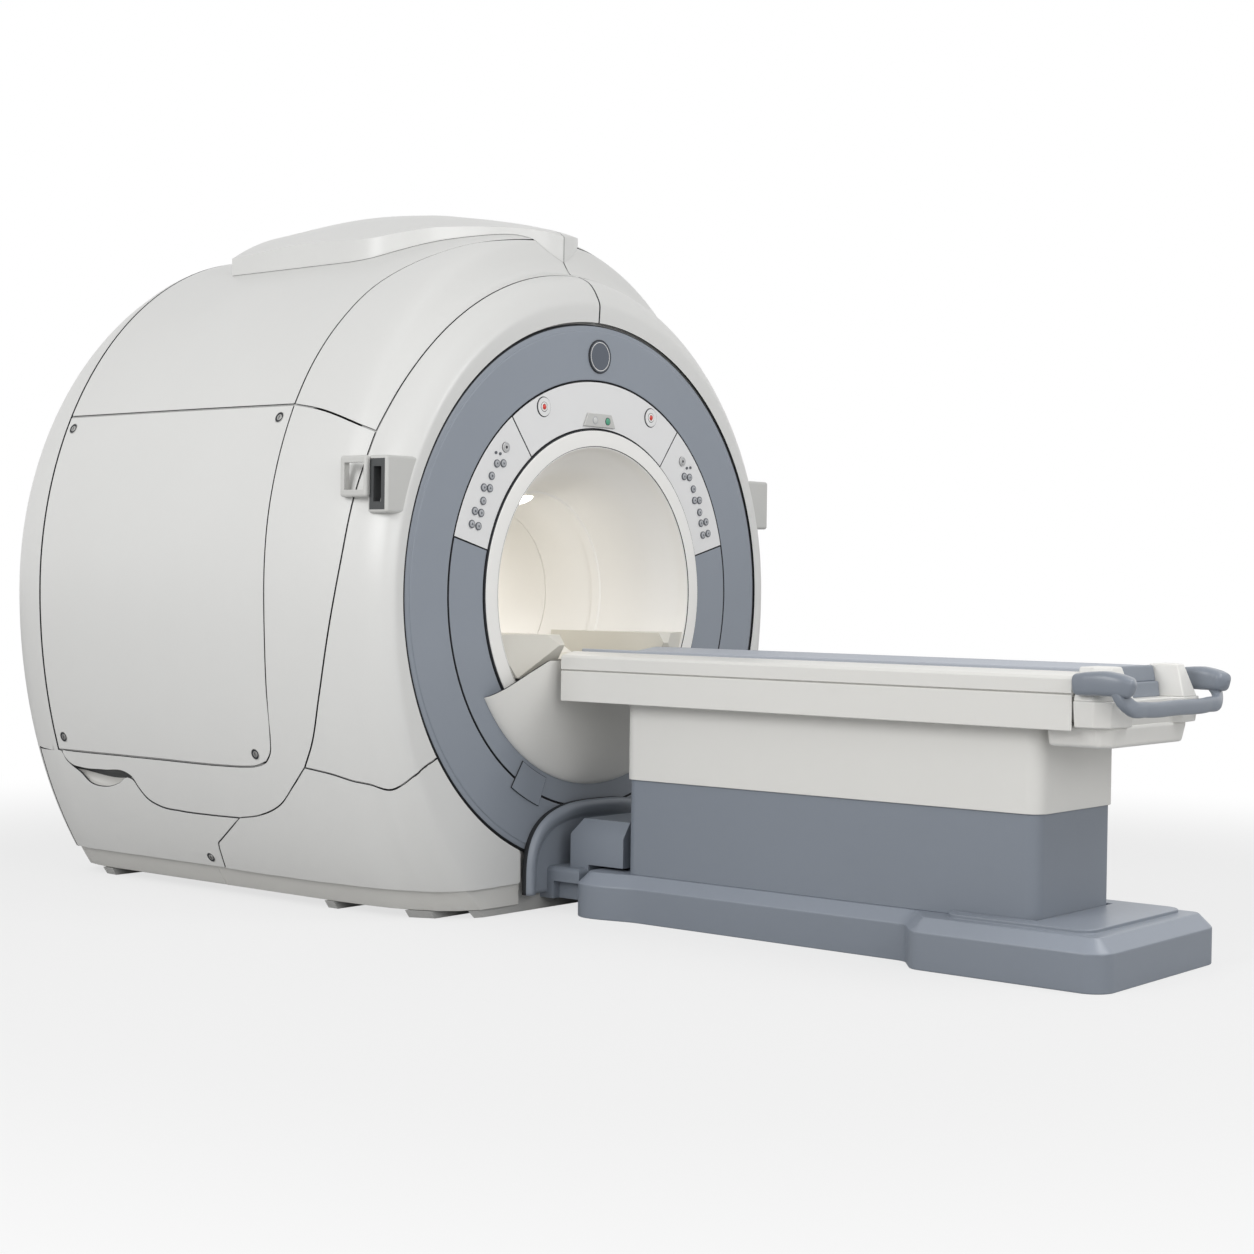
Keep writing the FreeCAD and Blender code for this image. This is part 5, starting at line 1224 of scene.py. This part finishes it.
def edge_walls(middle, normal):
    """Picks the seam shadow paint, painted shade, for faces that look sideways, save round the stop
    buttons.
    """
    at_button = math.hypot(abs(middle.x) - STOP_X, middle.z - CENTRE - STOP_RISE) < 0.03
    return 1 if abs(normal.y) < 0.5 and not at_button else 0


def keypad_parts(middle, normal):
    """Keys stand in front of the ring's face; the pad's narrow sides get painted shade."""
    if middle.y < FACE - 0.0006:
        return 2
    return edge_walls(middle, normal)


# The rings, hatch and display get painted shade on their narrow sides and on their bevels.
for node, paint, width in (
        ("front_ring_inner", ring_paint, 0.0022), ("service_hatch", ring_paint, 0.0022),
        ("display_panel", panel_paint, 0.002)):
    softened(node, [paint, seam_shade_paint], width, pick=edge_walls, dark_edge=True)
for side in ("left", "right"):
    softened("keypad_" + side, [panel_paint, seam_shade_paint, key_paint], 0.0016, pick=keypad_parts)
for node, paint, width in (
        ("status_lamp", handle_paint, 0.003), ("dock_block", table_paint, 0.008),
        ("bore_bridge", bridge_paint, 0.014),
        ("upper_shroud", pale_paint, 0.003), ("lower_shroud", table_paint, 0.003),
        ("deck_frame", pale_paint, 0.004), ("deck_rail", pale_paint, 0.004),
        ("cradle", cradle_paint, 0.004), ("plinth_front_left", plinth_paint, 0.004),
        ("plinth_front_right", plinth_paint, 0.004), ("plinth_rear", plinth_paint, 0.004)):
    softened(node, [paint], width, steps=4)


HANDLE_Y, HANDLE_Z = 0.16, 1.405


def handle_parts(middle, normal):
    """The walls of the slot in a side handle are painted dark: painted shade inside the slot."""
    inside = abs(middle.y - HANDLE_Y) < 0.0175 and abs(middle.z - HANDLE_Z) < 0.056
    return 1 if inside and abs(middle.x) < 1.0225 else 0


def base_parts(middle, normal):
    """Faces that look up are a little lighter, as in the photograph: painted light on the base's
    top.
    """
    return 1 if normal.z > 0.35 else 0


for side in ("left", "right"):
    softened("side_handle_" + side, [handle_paint, slot_shade_paint], 0.006, steps=4, pick=handle_parts)
softened("base_cover", [table_paint, top_light_paint], 0.008, steps=4, pick=base_parts)

# %% [markdown]
# ## Paint for the CAD nodes that stay
#
# Hidden and simple pieces keep their CAD mesh. Each gets the material that its slot in the
# record asks for. Only the two frames that reach the floor are paler, as their feet show
# under the plinth, where the photograph has nothing dark.

# %% Paint the rest
SLOT_PAINT = {
    "cover_white": cover_paint, "plinth_white": plinth_paint, "ring_blue": ring_paint,
    "table_blue": table_paint, "bore_ivory": bore_paint, "panel_grey": panel_paint,
    "stop_red": stop_paint, "button_grey": button_paint, "handle_grey": handle_paint,
    "lamp_white": lamp_glow, "table_white": pale_paint, "cradle_grey": cradle_paint,
    "screw_steel": steel, "vessel_steel": vessel_metal, "coil_resin": resin,
    "frame_paint": frame_paint, "column_aluminium": column_metal}
for node, slot_name in SLOTS.items():
    for place in nodes[node].material_slots:
        place.material = SLOT_PAINT[slot_name]
for node in ("magnet_stand", "cover_frame"):
    for place in nodes[node].material_slots:
        place.material = foot_paint

# %% [markdown]
# ## Floor, sky and lamps
#
# The picture has a white studio ground. A pale floor takes the object's soft shadow and
# fades to plain white further out, where it meets a white sky. Large soft lamps stand to
# the left and above, so that the drum's flank is bright and its front a little calmer.

# %% Light the studio
ground = Material("studio_ground")
centred = ground.node("ShaderNodeVectorMath", {"operation": "LENGTH"},
                      {0: ground.place()}, out=1)
far_away = ground.node("ShaderNodeMapRange", {"interpolation_type": "SMOOTHSTEP"},
                       {"Value": centred, "From Min": 2.6, "From Max": 5.5})
seen = ground.node("ShaderNodeLightPath", out=0)
glow = ground.node("ShaderNodeEmission", None, {"Color": (1.0, 1.0, 1.0), "Strength": 1.0})
ground.surface(Base__Color=(0.55, 0.55, 0.55), Roughness=0.9)
blended = ground.node("ShaderNodeMixShader", None, {0: seen * (0.72 + 0.28 * far_away)})
ground.tree.links.new(ground.shader.outputs[0], blended.socket.node.inputs[1])
ground.tree.links.new(glow.socket, blended.socket.node.inputs[2])
ground.tree.links.new(blended.socket, ground.tree.nodes["Material Output"].inputs[0])
floor_mesh = bpy.data.meshes.new("studio_floor")
floor_mesh.from_pydata([(-40, -40, 0), (40, -40, 0), (40, 40, 0), (-40, 40, 0)], [],
                       [(0, 1, 2, 3)])
floor = placed("studio_floor", floor_mesh, [ground.made])

world = bpy.data.worlds.new("studio_sky")
bpy.context.scene.world = world
world.use_nodes = True
sky = world.node_tree
path = sky.nodes.new("ShaderNodeLightPath")
camera_ray, glossy_ray, clear_ray = (Wire(sky, path.outputs[name]) for name in (
    "Is Camera Ray", "Is Glossy Ray", "Is Transmission Ray"))
strength = 0.48 + 0.52 * (camera_ray + glossy_ray + clear_ray).atmost(1.0)
sky.nodes["Background"].inputs["Color"].default_value = (1, 1, 1, 1)
sky.links.new(strength.socket, sky.nodes["Background"].inputs["Strength"])


def lamp(name, place, target, size, power, tint=(1, 1, 1)):
    """A square soft lamp that looks from its place at a target."""
    data = bpy.data.lights.new(name, "AREA")
    data.shape, data.size, data.energy, data.color = "SQUARE", size, power, tint
    made = bpy.data.objects.new(name, data)
    made.location = place
    made.visible_camera = False
    made.rotation_euler = (Vector(target) - Vector(place)).to_track_quat("-Z", "Y").to_euler()
    bpy.context.scene.collection.objects.link(made)


lamp("key_lamp", (-7.0, 0.5, 4.0), (0, 1.0, 1.2), 3.5, 218)
lamp("front_lamp", (-2.5, -7.5, 3.4), (0, 0, 1.2), 3.0, 85)
lamp("side_lamp", (-6.0, -6.5, 3.0), (0, 0.0, 1.1), 2.5, 40)
lamp("table_lamp", (0.6, -3.4, 3.4), (0, -1.3, 0.3), 1.6, 45)
lamp("tube_lamp", (-0.02, FACE + 1.0, 1.30), (0.1, FACE + 1.0, 0.8), 0.3, 1.5,
     (1.0, 0.98, 0.95))
for sign in (-1, 1):
    lamp(f"mouth_lamp_{sign}", (-0.05 * sign, FACE + 0.2, 1.19), (0.45 * sign, FACE + 0.25, 0.96),
         0.2, 0.32, (1.0, 0.985, 0.96))
bpy.context.scene.view_settings.view_transform = "Standard"
